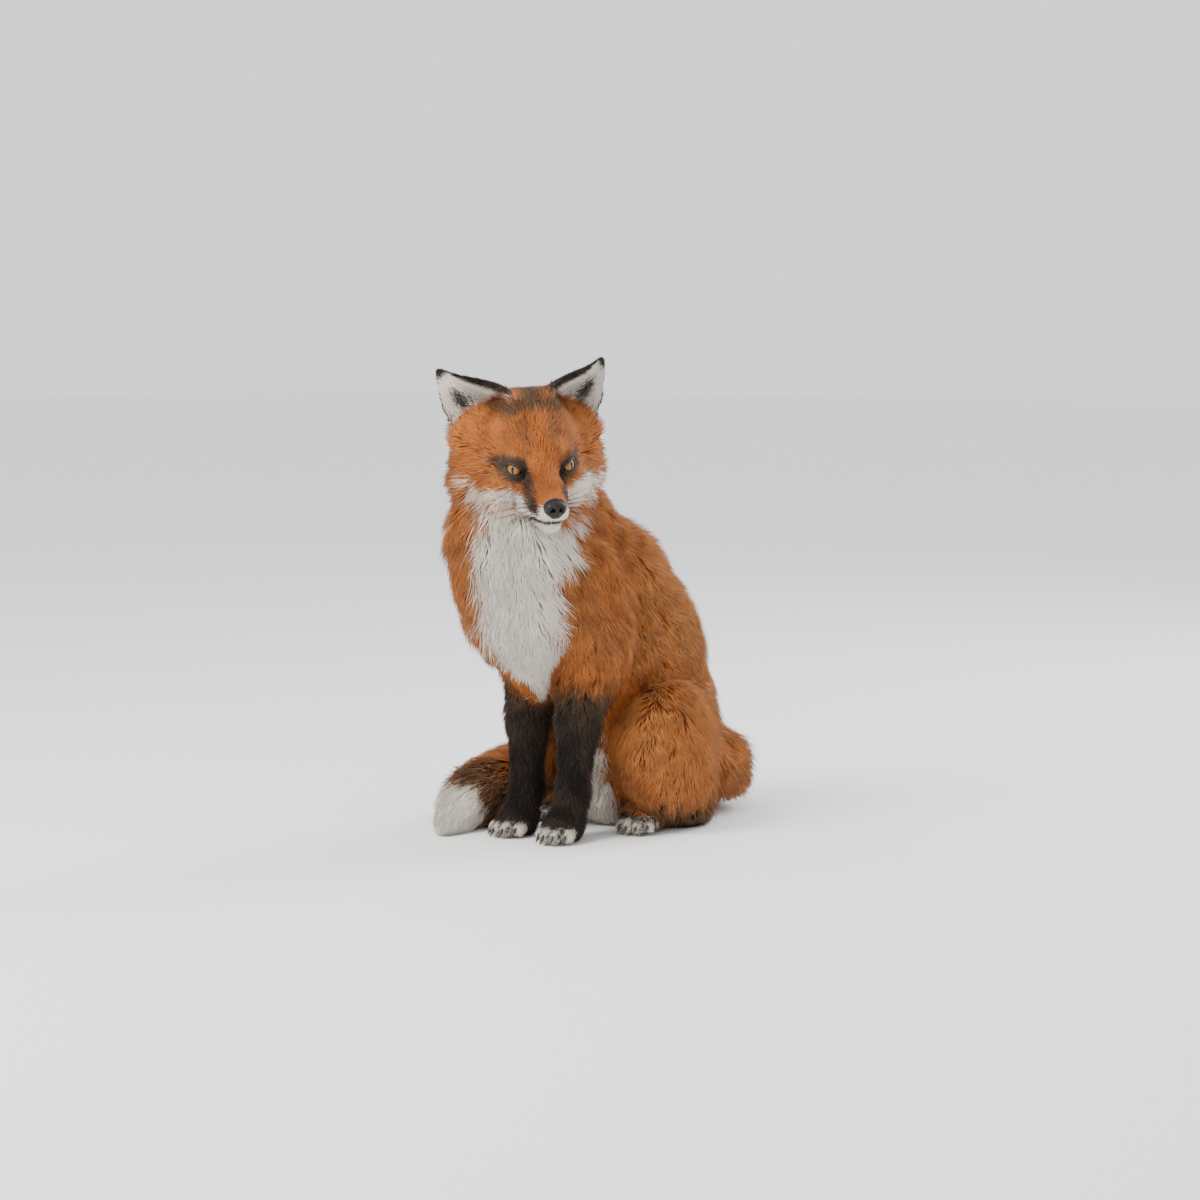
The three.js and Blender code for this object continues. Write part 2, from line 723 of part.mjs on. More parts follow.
function addHindFeet() {
  for (const side in SIDES) {
    const { foot, whole } = hindFoot(side);
    const [x, y] = HINDFOOT[side];
    const box = [[x - 45, y - 50, -10], [x + 45, y + 80, PAW_BOX_TOP]];
    const pawFrom = (field) => onFloor(solidFrom(field, ...box, CELL.hindPaw));
    fox.add(meshOf(`hindpaw_${side}`, largest(pawFrom(clearOf(whole, trunkField))), FINISHES.dark));
    addClaws(`claw_hind_${side}`, foot, HIND_HEADING[side], pawFrom(grown(whole, CLAW_SEAM)));
  }
}

// A field kept clear of another one.
const clearOf = (field, other) => (x, y, z) => Math.max(field(x, y, z), FUR_SEAM - other(x, y, z));

function addClaws(name, foot, headingDeg, paw) {
  TOES.forEach((toe, i) => {
    fox.add(meshOf(`${name}_${i + 1}`, clawSolid(foot, toe, headingDeg, paw), FINISHES.claw));
  });
}

function addTail() {
  const others = union(
    trunkField,
    ...Object.keys(SIDES).flatMap((side) => [foreleg(side).whole, hindFoot(side).whole]),
  );
  for (let i = 0; i < TAIL_CUTS.length - 1; i++) {
    const [s, t] = [TAIL_CUTS[i], TAIL_CUTS[i + 1]];
    const field = clearOf(tailTapers(s - 0.05, t + 0.05), others);
    let piece = onFloor(solidFrom(field, [-210, -215, -12], [90, 270, 130], t < 1 ? CELL.tail : CELL.tip));
    if (i > 0) piece = far(piece, acrossTail(s));
    if (t < 1) piece = near(piece, acrossTail(t));
    fox.add(meshOf(`tail_${i + 1}`, largest(piece), t < 1 ? FINISHES.red : FINISHES.pale));
  }
}

addHead();
addTrunk();
addForelegs();
addHindFeet();
addTail();

const PRECISE = true; // measures every vertex, not the turned head's own box
const middle = new THREE.Box3().setFromObject(fox, PRECISE).getCenter(v3(0, 0, 0));
fox.position.set(-middle.x, -middle.y, 0);

export default fox;
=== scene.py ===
"""Looks of a sitting red fox in its winter coat: skin, coat, eyes, nose, claws and whiskers.

The body's forms are distance fields in millimetres, in the animal's own frame: the chest faces -Y,
the animal's left is +X and the floor is Z 0. Their joined surface is the outside of the coat, and the
skin lies inside it by the coat's depth. Points are arrays of three rows: p in the animal's frame, q in
the head's, and m as q but folded onto the head's left half.
"""

import math

import bmesh
import bpy
import numpy as np
import openvdb
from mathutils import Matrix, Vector


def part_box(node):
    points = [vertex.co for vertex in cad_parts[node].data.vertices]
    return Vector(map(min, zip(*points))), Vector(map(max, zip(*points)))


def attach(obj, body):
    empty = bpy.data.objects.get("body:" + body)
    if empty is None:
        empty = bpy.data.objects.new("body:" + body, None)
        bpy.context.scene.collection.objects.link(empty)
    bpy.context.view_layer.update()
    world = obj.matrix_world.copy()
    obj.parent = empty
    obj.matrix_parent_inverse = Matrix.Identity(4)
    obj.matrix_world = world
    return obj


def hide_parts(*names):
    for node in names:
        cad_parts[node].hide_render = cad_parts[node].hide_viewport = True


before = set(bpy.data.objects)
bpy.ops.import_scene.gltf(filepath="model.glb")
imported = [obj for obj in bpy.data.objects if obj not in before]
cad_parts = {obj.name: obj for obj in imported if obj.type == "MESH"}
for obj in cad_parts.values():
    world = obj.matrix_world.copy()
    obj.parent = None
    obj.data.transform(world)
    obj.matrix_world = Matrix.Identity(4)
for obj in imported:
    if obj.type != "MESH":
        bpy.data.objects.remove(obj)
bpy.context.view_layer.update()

MM = 0.001
SIDES = {"left": 1, "right": -1}


# ---- Small mathematics ----


def column(*values):
    """A point or direction as a column, to set against rows of x, y and z."""
    return np.array(values, np.float32).reshape(3, 1)


def cos_sin(degrees):
    return math.cos(math.radians(degrees)), math.sin(math.radians(degrees))


def turned(axis, degrees):
    """The matrix of a turn about X, Y or Z, given as 0, 1 or 2."""
    c, s = cos_sin(degrees)
    a, b = [(1, 2), (2, 0), (0, 1)][axis]
    matrix = np.eye(3, dtype=np.float32)
    matrix[a, a] = matrix[b, b] = c
    matrix[a, b], matrix[b, a] = -s, s
    return matrix


def dot(a, b):
    return (a * b).sum(0)


def unit(v):
    return v / np.maximum(np.sqrt(dot(v, v)), 1e-9)


def laid_along(way, normal):
    """A direction without its part along the normal, at unit length."""
    return unit(way - normal * dot(way, normal))


def ramp(low, high, value):
    """0 at low, 1 at high, smooth between them; low may be the bigger."""
    t = np.clip((value - low) / (high - low), 0, 1)
    return t * t * (3 - 2 * t)


def mix(a, b, share):
    return a + (b - a) * share


def most(*values):
    """The highest of the values at each place."""
    return np.max(values, axis=0)


def bell(x):
    """1 at 0, and next to nothing beyond 2 on either side."""
    return np.exp(-(x**2))


def ripple(p, wave, seed):
    """Smooth pseudo-random values of about -1 to 1 over space, that repeat about every wave."""
    draws = np.random.default_rng(seed)
    total = 0
    for _ in range(5):
        way = unit(draws.normal(size=(3, 1))).astype(np.float32)
        stretch = draws.uniform(0.7, 1.5)
        total = total + np.sin(dot(way, p) * (2 * math.pi * stretch / wave) + draws.uniform(0, 6.3))
    return total / 2.5


# ---- Forms: negative inside, in millimetres from the surface ----


def taper(p, a, b, ra, rb):
    """A ball of radius ra at a, tapering to a ball of radius rb at b."""
    start, end = column(*a), column(*b)
    length = float(np.linalg.norm(end - start))
    axis = (end - start) / length
    lean = (ra - rb) / length
    q = p - start
    along = dot(axis, q)
    off2 = np.maximum(dot(q, q) - along * along, 0)
    nearest = np.clip(along - lean / math.sqrt(1 - lean * lean) * np.sqrt(off2), 0, length)
    return np.sqrt(off2 + (along - nearest) ** 2) - (ra - lean * nearest)


def egg(p, centre, radii, turn=(0, 0, 0)):
    """An ellipsoid, turned by degrees about X, Y and Z."""
    matrix = turned(0, turn[0]) @ turned(1, turn[1]) @ turned(2, turn[2])
    r = column(*radii)
    q = (matrix.T @ (p - column(*centre))) / r
    k0 = np.sqrt(dot(q, q))
    return k0 * (k0 - 1) / np.maximum(np.sqrt(((q / r) ** 2).sum(0)), 1e-6)


def join(k, first, *rest):
    """The union of forms, rounded over about k where they meet."""
    d = first
    for e in rest:
        h = np.maximum(k - np.abs(d - e), 0) / k
        d = np.minimum(d, e) - h * h * k / 4
    return d


def carve(k, form, hollow):
    return -join(k, -form, hollow)


# ---- The head, in its own frame: +X to the nose, +Y to the animal's left ----

HEAD_PLACE = column(8, -117, 386)
HEAD_AXES = turned(2, -34) @ turned(1, 16) @ turned(0, 4)
EYE_PLACE = (40, 25, 5)
EYE_RADIUS = 9.2
LID_THICK = 1.1


def to_head(p):
    return HEAD_AXES.T @ (p - HEAD_PLACE)


def from_head(q):
    return HEAD_AXES @ q + HEAD_PLACE


def head_point(*q):
    return tuple(from_head(column(*q)).ravel())


def folded(p, axis):
    """Both halves of the body folded onto the animal's left one."""
    q = p.copy()
    q[axis] = np.abs(q[axis])
    return q


def head_forms(q, m):
    crown = join(
        16,
        egg(q, (-10, 0, 12), (54, 48, 58)),
        egg(q, (22, 0, 10), (34, 33, 27)),
        taper(q, (30, 0, 4), (62, 0, -10), 24, 18),
        egg(m, (33, 20, 19), (13, 11, 7), (0, 0, -20)),
    )
    cheek = join(
        14,
        egg(m, (12, 32, -16), (34, 24, 26)),
        egg(m, (-16, 48, -12), (34, 31, 46)),
        taper(m, (-10, 48, -18), (-24, 63, -24), 22, 17),
        egg(m, (-26, 45, 10), (24, 24, 30)),
    )
    upper_jaw = join(
        9,
        taper(q, (42, 0, -12), (88, 0, -20), 22, 13.5),
        taper(m, (54, 11, -23), (88, 5.5, -27), 14, 9.5),
        egg(q, (93, 0, -17), (11, 11, 9)),
    )
    lower_jaw = join(10, taper(q, (18, 0, -37), (76, 0, -40), 19, 8.5), egg(q, (78, 0, -41), (13, 10, 7)))
    return {"crown": crown, "cheek": cheek, "muzzle": join(7, upper_jaw, lower_jaw)}


EAR_ROOT = column(-10, 37, 28)
EAR_TIP = column(-34, 79, 78)
EAR_ALONG = unit(EAR_TIP - EAR_ROOT)
EAR_OPENS = laid_along(column(0.72, 0.62, 0.3), EAR_ALONG)
EAR_SIDE = column(*np.cross(EAR_ALONG.ravel(), EAR_OPENS.ravel()))
EAR_SUNK = 14
EAR_LENGTH = 82 + EAR_SUNK


def ear_shape(m):
    """Where points by the left ear lie: along it, round its cup from the crown's edge, -1, to the
    outer edge, 1, and outwards from the middle of its thickness."""
    q = m - (EAR_ROOT - EAR_ALONG * EAR_SUNK)
    share, side, front = [dot(q, axis) for axis in (EAR_ALONG / EAR_LENGTH, EAR_SIDE, EAR_OPENS)]
    t = np.clip(share, 0, 0.985)
    fuller = 1 + 0.45 * np.sin(math.pi * np.minimum(t * 1.15, 1)) * ramp(4, -12, side)
    width = 30 * (1 - t**1.9) ** 0.85 * (0.92 + 0.18 * np.sin(math.pi * t)) * fuller
    cup = np.radians(mix(82, 34, t))
    radius = width / np.sin(cup)
    out = 7 * np.sin(math.pi * t) - front + radius * np.cos(cup)
    around = np.arctan2(side, out) / cup
    thick = mix(8, 5.5, t) * (1 - 0.55 * np.minimum(np.abs(around), 1) ** 4)
    return {
        "share": share,
        "around": around,
        "outward": np.hypot(out, side) - radius - thick / 2,
        "thick": thick,
        "beside": (np.abs(around) - 1) * cup * radius,
        "beyond": np.abs(share - t) * EAR_LENGTH,
    }


def ear_form(m):
    """A cupped leaf, fuller on the edge towards the crown."""
    ear = ear_shape(m)
    across = np.abs(ear["outward"]) - ear["thick"] / 2
    outside = np.sqrt(np.maximum(across, 0) ** 2 + np.maximum(ear["beside"], 0) ** 2 + ear["beyond"] ** 2)
    return outside + np.minimum(np.maximum(across, ear["beside"]), 0)


def ear_back(ear):
    """1 on the ear's outer side, 0 in its cup."""
    return ramp(-0.6, 0.6, ear["outward"])


def pad_form(q, m):
    """The nose pad's bulk: a rounded block with a wing on each side."""
    block = join(5, egg(q, (98, 0, -15.5), (9, 9.5, 6.2)), egg(q, (99.5, 0, -20), (7, 6, 7.2)))
    return join(3, block, egg(m, (101, 6.6, -17.2), (5.2, 3.6, 4.8)))


# ---- Trunk, legs and tail ----

NAPE = head_point(-26, 0, -6)
THROAT = head_point(2, 0, -42)
WITHERS, LOIN, RUMP = (0, 14, 254), (0, 48, 190), (0, 80, 109)
HAUNCH_TOP = (62, 30, 172)  # the fur of the haunch fans out from here
TOES = [(-15, 13), (-5.5, 22), (5.5, 22), (15, 13)]  # outwards and ahead, from a foot's middle
TOE_GAP = 10.5  # from a foot's middle line to the gap beside its outer toes
FEET = {  # middle, and heading in degrees
    "fore_left": ((31, -94), 12),
    "fore_right": ((-31, -94), 4),
    "hind_left": ((58, -2), 18),
    "hind_right": ((-58, -2), -18),
}


def trunk_forms(p):
    w = folded(p, 0)
    return {
        "neck": join(
            34,
            taper(p, NAPE, (-2, -8, 262), 52, 58),
            taper(p, THROAT, (-17, -116, 310), 44, 71),
            egg(p, (-5, -108, 254), (72, 74, 82)),
        ),
        "back": join(
            30,
            taper(p, WITHERS, LOIN, 67, 71),
            taper(p, LOIN, RUMP, 72, 77),
            egg(p, (0, 92, 60), (80, 72, 70)),
        ),
        "bib": taper(p, (-3, -112, 228), (-4, -96, 166), 50, 26),
        "belly": taper(p, (0, -14, 165), (0, 16, 44), 54, 46),
        "shoulder": join(
            24,
            egg(w, (46, -58, 229), (33, 44, 74), (12, 0, 0)),
            taper(w, (42, -62, 208), (36, -66, 152), 34, 28),
        ),
        "haunch": join(
            22,
            egg(w, (68, 28, 80), (44, 66, 74), (-8, 0, 8)),
            taper(w, (72, 4, 90), (66, 60, 28), 42, 34),
        ),
    }


def on_foot(foot, out, ahead, z):
    """The place of a point given from a foot's middle: outwards, ahead and up."""
    (x, y), heading = FEET[foot]
    c, s = cos_sin(heading)
    return (x + out * c + ahead * s, y + out * s - ahead * c, z)


def off_foot(p, foot):
    """How far points are beside a foot's middle line, and ahead of its middle."""
    (x, y), heading = FEET[foot]
    c, s = cos_sin(heading)
    return (p[0] - x) * c + (p[1] - y) * s, (p[0] - x) * s - (p[1] - y) * c


def foot_form(p, foot):
    pad = egg(p, on_foot(foot, 0, 0, 15), (21, 24, 20), (0, 0, FEET[foot][1]))
    toes = [
        taper(p, on_foot(foot, out * 0.8, ahead - 12, 16), on_foot(foot, out, ahead + 5, 8), 9.5, 8.2)
        for out, ahead in TOES
    ]
    return join(5, pad, *toes)


def leg_forms(p, side):
    """One side's foreleg, forefoot, and hind foot with its hock on the floor."""
    s = SIDES[side]
    (x, y), _ = FEET["fore_" + side]
    foreleg = join(
        14,
        taper(p, (37 * s, -66, 184), (34 * s, -75, 114), 33, 21.5),
        taper(p, (34 * s, -75, 114), (x, y + 14, 46), 21.5, 17.5),
        taper(p, (x, y + 14, 46), (x, y + 4, 20), 17.5, 17),
    )
    (x, y), _ = FEET["hind_" + side]
    hock = taper(p, (x, y + 8, 17), (60 * s, 74, 20), 16, 18)
    return foreleg, foot_form(p, "fore_" + side), join(10, foot_form(p, "hind_" + side), hock)


# Middle of the tail from root to tip, and the coat's radius there.
TAIL_STATIONS = [
    ((-4, 130, 94), 36),
    ((36, 142, 56), 45),
    ((20, 168, 45), 45),
    ((-34, 190, 43), 44),
    ((-82, 170, 42), 43),
    ((-114, 120, 41), 42),
    ((-126, 62, 39), 40),
    ((-124, 6, 37), 38),
    ((-113, -38, 35), 35),
    ((-104, -74, 31), 33),
    ((-96, -108, 22), 26),
    ((-86, -136, 11), 14),
    ((-82, -151, 7), 7),
]
TAIL_STEPS = 26


def tail_line():
    """Points along the tail on a centripetal spline, and the coat's radius at each."""
    at = np.array([place for place, _ in TAIL_STATIONS], float)
    radii = [radius for _, radius in TAIL_STATIONS]
    at = np.vstack([2 * at[0] - at[1], at, 2 * at[-1] - at[-2]])
    points, sizes = [], []
    for u in np.linspace(0, len(radii) - 1, TAIL_STEPS + 1):
        i = min(int(u), len(radii) - 2)
        t = u - i
        a, b, c, d = at[i : i + 4]
        before, here, after = [np.linalg.norm(w - v) ** 0.5 for v, w in ((a, b), (b, c), (c, d))]
        leave = ((b - a) / before - (c - a) / (before + here) + (c - b) / here) * here
        arrive = ((c - b) / here - (d - b) / (here + after) + (d - c) / after) * here
        square, cube = 3 * (c - b) - 2 * leave - arrive, 2 * (b - c) + leave + arrive
        points.append(b + leave * t + square * t**2 + cube * t**3)
        sizes.append(mix(radii[i], radii[i + 1], t))
    return np.array(points, np.float32), sizes


TAIL_POINTS, TAIL_RADII = tail_line()


def tail_form(p):
    """Distance to the tail's coat, and the share of the way to its tip."""
    near = np.full(p.shape[1], 1e9, np.float32)
    step = np.zeros(p.shape[1], int)
    for i in range(TAIL_STEPS):
        d = taper(p, TAIL_POINTS[i], TAIL_POINTS[i + 1], TAIL_RADII[i], TAIL_RADII[i + 1])
        step = np.where(d < near, i, step)
        near = np.minimum(near, d)
    way = (TAIL_POINTS[step + 1] - TAIL_POINTS[step]).T
    past = dot(p - TAIL_POINTS[step].T, way) / dot(way, way)
    return near, (step + np.clip(past, 0, 1)) / TAIL_STEPS


# ---- Coat: how it lies in each region ----

# Depth of the skin below the coat's outside, height of the tufts' tips above the skin, tuft length and
# width, all in mm, and tufts per square cm.
COAT = {
    "muzzle": (2.2, 2.0, 5.0, 0.5, 160),
    "crown": (4.0, 4.2, 9.5, 0.72, 85),
    "cheek": (8, 10, 18, 1.0, 55),
    "ear": (1.0, 1.5, 6.0, 0.62, 85),
    "neck": (12, 13.5, 32, 1.4, 28),
    "bib": (12, 13.5, 34, 1.5, 28),
    "shoulder": (10, 11, 28, 1.35, 28),
    "back": (11, 12.5, 31, 1.4, 23),
    "belly": (9, 9, 24, 1.5, 18),
    "haunch": (8, 9.5, 25, 1.25, 28),
    "foreleg": (4.5, 5.4, 14, 0.8, 46),
    "forepaw": (2.4, 2.2, 5.5, 0.6, 85),
    "hindfoot": (2.8, 2.6, 6.5, 0.65, 68),
    "tail": (15, 18, 43, 1.55, 25),
    "brush": (4.5, 6, 27, 1.1, 60),  # the tail's end
}
REGIONS = list(COAT)
BIB, TAIL, BRUSH = [REGIONS.index(name) for name in ("bib", "tail", "brush")]
COAT_TABLE = np.array(list(COAT.values()), np.float32)
REGION_BLEND = 6
BIB_BEHIND = 5  # the neck and chest count as nearer than the bib by this
BARE_DEPTH = 0.9  # depth of the shortest fur
SKIN_FLOOR = 0.3  # height of the skin's flat underside
FACE = ("muzzle", "crown", "cheek")


def share_of(shares, *names):
    return sum(shares[REGIONS.index(name)] for name in names)


def lie_of(p):
    """Each region's share of the points, and the distances to the coat's outside and to the ears."""
    q = to_head(p)
    m = folded(q, 1)
    d = head_forms(q, m) | trunk_forms(p)
    d["foreleg"], d["forepaw"], d["hindfoot"] = np.minimum(leg_forms(p, "left"), leg_forms(p, "right"))
    d["ear"] = ear_form(m)
    d["tail"], along = tail_form(p)
    head = join(12, join(18, d["crown"], d["cheek"]), d["muzzle"])
    head = carve(9, head, egg(m, (48, 24, 2), (14, 9, 8), (0, 20, -28)))
    trunk = join(26, *[d[name] for name in ("neck", "back", "bib", "belly", "shoulder", "haunch")])
    outside = join(22, trunk, head)
    outside = join(9, outside, join(12, d["foreleg"], d["forepaw"]), d["hindfoot"], d["tail"])
    outside = join(14, outside, d["ear"])
    stack = np.stack([d.get(name, outside) for name in REGIONS])
    stack[BIB] += BIB_BEHIND
    shares = np.exp(-(stack - stack.min(0)) / REGION_BLEND)
    shares[BRUSH] = 0
    shares /= shares.sum(0)
    shares[BRUSH] = shares[TAIL] * ramp(0.5, 0.95, along)
    shares[TAIL] -= shares[BRUSH]
    return shares, outside, d["ear"]


def by_eye(q):
    """Distance from the middle of the nearer eyeball."""
    return np.sqrt(((folded(q, 1) - column(*EYE_PLACE)) ** 2).sum(0))


def mouth_gap(q):
    """Distance above the mouth's line, and how much of a mouth there is."""
    line = -33 + 0.1 * (q[0] - 98) + 0.0035 * np.maximum(60 - q[0], 0) ** 2
    return q[2] - line, ramp(38, 46, q[0]) * ramp(-12, -20, q[2])


def shortness(q, shares):
    """1 where the face's fur is shortest: round the eyes, by the nose and along the lips."""
    above, there = mouth_gap(q)
    lips = 0.85 * there * ramp(8, 3, np.abs(above))
    return share_of(shares, *FACE) * most(ramp(28, 13, by_eye(q)), 0.9 * ramp(66, 98, q[0]), lips)


def coat_depth(p, q, shares, ear):
    depth = mix(COAT_TABLE[:, 0] @ shares, BARE_DEPTH, shortness(q, shares))
    depth = mix(depth, np.minimum(depth, 2.0), ramp(16, 4, ear))
    depth = mix(depth, np.minimum(depth, 4), ramp(14, 3, p[2]))
    return mix(depth, 4.5, ramp(0.5, -2, pad_form(q, folded(q, 1))))


def ear_hair(q, shares):
    """1 where the long pale hair grows inside the ears, on the edge towards the crown."""
    ear = ear_shape(folded(q, 1))
    here = (1 - ear_back(ear)) * ramp(-0.3, -0.7, ear["around"])
    return share_of(shares, "ear") * here * ramp(0.08, 0.22, ear["share"]) * ramp(0.9, 0.62, ear["share"])


SHORTEST = (1.2, 3.2, 0.46, 210)  # height, length, width and number of tufts, as in the table
EAR_HAIR = (6.5, 17, 0.75)


def coat_settings(p, shares):
    """Height of the tips, tuft length, tuft width and tufts per square cm."""
    q = to_head(p)
    short, hair = shortness(q, shares), ear_hair(q, shares)
    settings = [mix(usual, least, short) for usual, least in zip(COAT_TABLE.T[1:] @ shares, SHORTEST)]
    return [mix(usual, long, hair) for usual, long in zip(settings, EAR_HAIR)] + settings[3:]


def skin_field(p):
    """The skin inside the coat, over the eyeballs too, and no lower than the floor."""
    shares, outside, ear = lie_of(p)
    q = to_head(p)
    lids = by_eye(q) - EYE_RADIUS - LID_THICK
    return np.maximum(join(5, outside + coat_depth(p, q, shares, ear), lids), SKIN_FLOOR - p[2])


def slope(field, p, reach=0.5):
    """The field's gradient, from four corners of a small tetrahedron."""
    corners = [column(1, -1, -1), column(-1, -1, 1), column(-1, 1, -1), column(1, 1, 1)]
    return sum(c * field(p + c * reach) for c in corners) / (4 * reach)


# ---- Meshes ----

GRID_LOW, GRID_HIGH = (-180, -222, -8), (130, 245, 500)
FINE_LOW, FINE_HIGH = (-82, -205, 318), (96, -30, 500)  # round the head
COARSE_CELL, FINE_CELL = 4.0, 2.0
STRIDE = 4  # planes between those of the first, rough sampling


def grid_lines():
    """Planes of a grid along X, Y and Z, closer together round the head."""
    lines = []
    for low, high, fine_low, fine_high in zip(GRID_LOW, GRID_HIGH, FINE_LOW, FINE_HIGH):
        places = [low]
        while places[-1] < high:
            near = fine_low < places[-1] < fine_high
            places.append(places[-1] + (FINE_CELL if near else COARSE_CELL))
        lines.append(np.array(places, np.float32))
    return lines


def sampled(field, lines, reach):
    """The field on a grid, worked out only near its surface."""
    coarse = [a[::STRIDE] for a in lines]
    middles = np.stack([g.ravel() for g in np.meshgrid(*coarse, indexing="ij")])
    rough = field(middles).reshape([len(a) for a in coarse])
    for axis, a in enumerate(lines):
        nearest = np.minimum((np.arange(len(a)) + STRIDE // 2) // STRIDE, len(coarse[axis]) - 1)
        rough = np.take(rough, nearest, axis)
    close = np.nonzero(np.abs(rough) < reach)
    points = np.stack([a[i] for a, i in zip(lines, close)])
    rough[close] = np.concatenate([field(part) for part in np.array_split(points, 8, axis=1)])
    return rough


def surface(field, lines, reach):
    """The field's surface as points and four-sided faces."""
    grid = openvdb.FloatGrid()
    grid.copyFromArray(np.ascontiguousarray(sampled(field, lines, reach), np.float32))
    points, quads = grid.convertToQuads(isovalue=0.0)
    places = [np.interp(points[:, i], np.arange(len(a)), a) for i, a in enumerate(lines)]
    return np.stack(places).astype(np.float32), quads


def drawn_in(field, p, passes=2):
    """Points drawn onto the field's surface."""
    for _ in range(passes):
        g = slope(field, p)
        p = p - g * (np.clip(field(p), -1.5, 1.5) / np.maximum(dot(g, g), 0.2))
    return p


def anchor():
    """How far the animal's frame is moved in the row frame, by the middle between its eyes."""
    boxes = [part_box("eye_" + side) for side in SIDES]
    middle = sum(((low + high) / 2 for low, high in boxes), Vector()) / 2
    return np.array(middle) / MM - np.array(head_point(EYE_PLACE[0], 0, EYE_PLACE[2]))


SHIFT = anchor()


def to_row(p):
    """Points as rows in metres in the row frame."""
    return (p.T + SHIFT) * MM


def from_row(rows):
    return (np.asarray(rows, np.float32) / MM - SHIFT).T.astype(np.float32)


def add_object(name, data):
    made = bpy.data.objects.new(name, data)
    bpy.context.scene.collection.objects.link(made)
    return made


def made_object(name, rows, faces, material):
    """An object of points in rows, in metres, and faces that all have the same number of corners."""
    mesh = bpy.data.meshes.new(name)
    mesh.vertices.add(len(rows))
    mesh.vertices.foreach_set("co", np.asarray(rows, np.float32).ravel())
    mesh.loops.add(faces.size)
    mesh.loops.foreach_set("vertex_index", np.asarray(faces, np.int32).ravel())
    mesh.polygons.add(len(faces))
    mesh.polygons.foreach_set("loop_start", np.arange(0, faces.size, faces.shape[1], dtype=np.int32))
    mesh.update(calc_edges=True)
    mesh.validate()
    mesh.shade_smooth()
    mesh.materials.append(material)
    return add_object(name, mesh)


def placed(made, slot, *nodes):
    """Says what a piece rides on and which nodes it replaces; the slot is not used."""
    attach(made, "root")
    if nodes:
        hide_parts(*nodes)


def add_values(mesh, **values):
    """Named numbers for each vertex, for the materials to read."""
    for name, numbers in values.items():
        attribute = mesh.attributes.new(name, "FLOAT", "POINT")
        attribute.data.foreach_set("value", np.ascontiguousarray(numbers, np.float32))


def values_of(items, name, width=3, kind=np.float32):
    """One property of all vertices, edges, triangles or corners, in rows."""
    values = np.zeros(len(items) * width, kind)
    items.foreach_get(name, values)
    return values.reshape(-1, width)


def points_of(mesh):
    return from_row(values_of(mesh.vertices, "co"))


def wall(rings, sides, closed=False):
    """Triangles between rings of vertices that follow one another."""
    faces = []
    for i in range(rings if closed else rings - 1):
        low, high = i * sides, (i + 1) % rings * sides
        for a in range(sides):
            b = (a + 1) % sides
            faces += [(low + a, low + b, high + b), (low + a, high + b, high + a)]
    return faces


# ---- Skin ----

# Each eye's own axes in the head's frame: out of the head, to its outer corner and up.
EYE_OUT_DEG, EYE_UP_DEG, EYE_SLANT_DEG = 32, 6, 19
LID_HALF_LENGTH, UPPER_LID, LOWER_LID = 10.4, 4.7, 4.3  # along the eyeball, from its front


def eye_axes():
    """For the left eye; the right one's are the same with Y turned round."""
    axes = turned(2, EYE_OUT_DEG) @ turned(1, -EYE_UP_DEG) @ turned(0, EYE_SLANT_DEG)
    return axes[:, 0:1], axes[:, 1:2], axes[:, 2:3]


def arch(x, half):
    """Height over -half to half of an arch that is 1 high."""
    return np.maximum(1 - (x / half) ** 2, 0) ** 0.8


def beyond_almond(x, y, half, upper, lower):
    """How far places lie outside an almond with its corners at -half and half."""
    return np.maximum(np.abs(y) - np.where(y > 0, upper, lower) * arch(x, half), np.abs(x) - half)


def shape_lids(q):
    """Points round the eyes, drawn into lids that lie on the eyeballs, and how far they are outside
    the lids' opening."""
    out, across, up = eye_axes()
    ray = folded(q, 1) - column(*EYE_PLACE)
    r = np.sqrt(dot(ray, ray))
    way = ray / np.maximum(r, 1e-6)
    x, y, front = [dot(way, axis) for axis in (across, up, out)]
    along = EYE_RADIUS * np.arccos(np.clip(front, -1, 1)) / np.maximum(np.hypot(x, y), 1e-6)
    x, y = x * along, y * along
    edge = beyond_almond(x, y, LID_HALF_LENGTH, UPPER_LID, LOWER_LID)
    lid = EYE_RADIUS + mix(-1.4, LID_THICK, ramp(-0.5, 0.4, edge))
    lid = lid - 0.6 * np.exp(-((edge - 3.4) ** 2) / 1.2) * (y > 0)  # the upper lid's fold
    lid = mix(lid, np.maximum(r, lid), ramp(1.0, 6.5, edge))
    near = ramp(-0.3, 0.2, front) * ramp(2.5, 1.9, r / EYE_RADIUS)
    moved = column(*EYE_PLACE) + way * mix(r, lid, near)
    moved[1] *= np.sign(q[1])
    tear_duct = np.hypot((x + LID_HALF_LENGTH + 0.6) / 2.6, y + 0.4) - 0.2
    return moved, np.where(near > 0, np.minimum(edge, tear_duct), 99.0)


def shape_mouth(q):
    """Draws in the line between the lips, and the groove under the nose."""
    above, there = mouth_gap(q)
    deep = 2.6 * bell(above) * there
    groove = 1.1 * bell(q[1] / 0.7) * ramp(90, 97, q[0]) * ramp(-33, -31, q[2]) * ramp(-19, -24, q[2])
    return q + unit(column(60, 0, -30) - q) * (deep + groove)


NEAR_EYE, NEAR_MOUTH = (20, 16), (6, 3)  # what the first and the second split take in
MOUTH_END, MUZZLE_START = 36, 62
FACE_START, FACE_HALF = 20, 60  # what is drawn onto the surface again


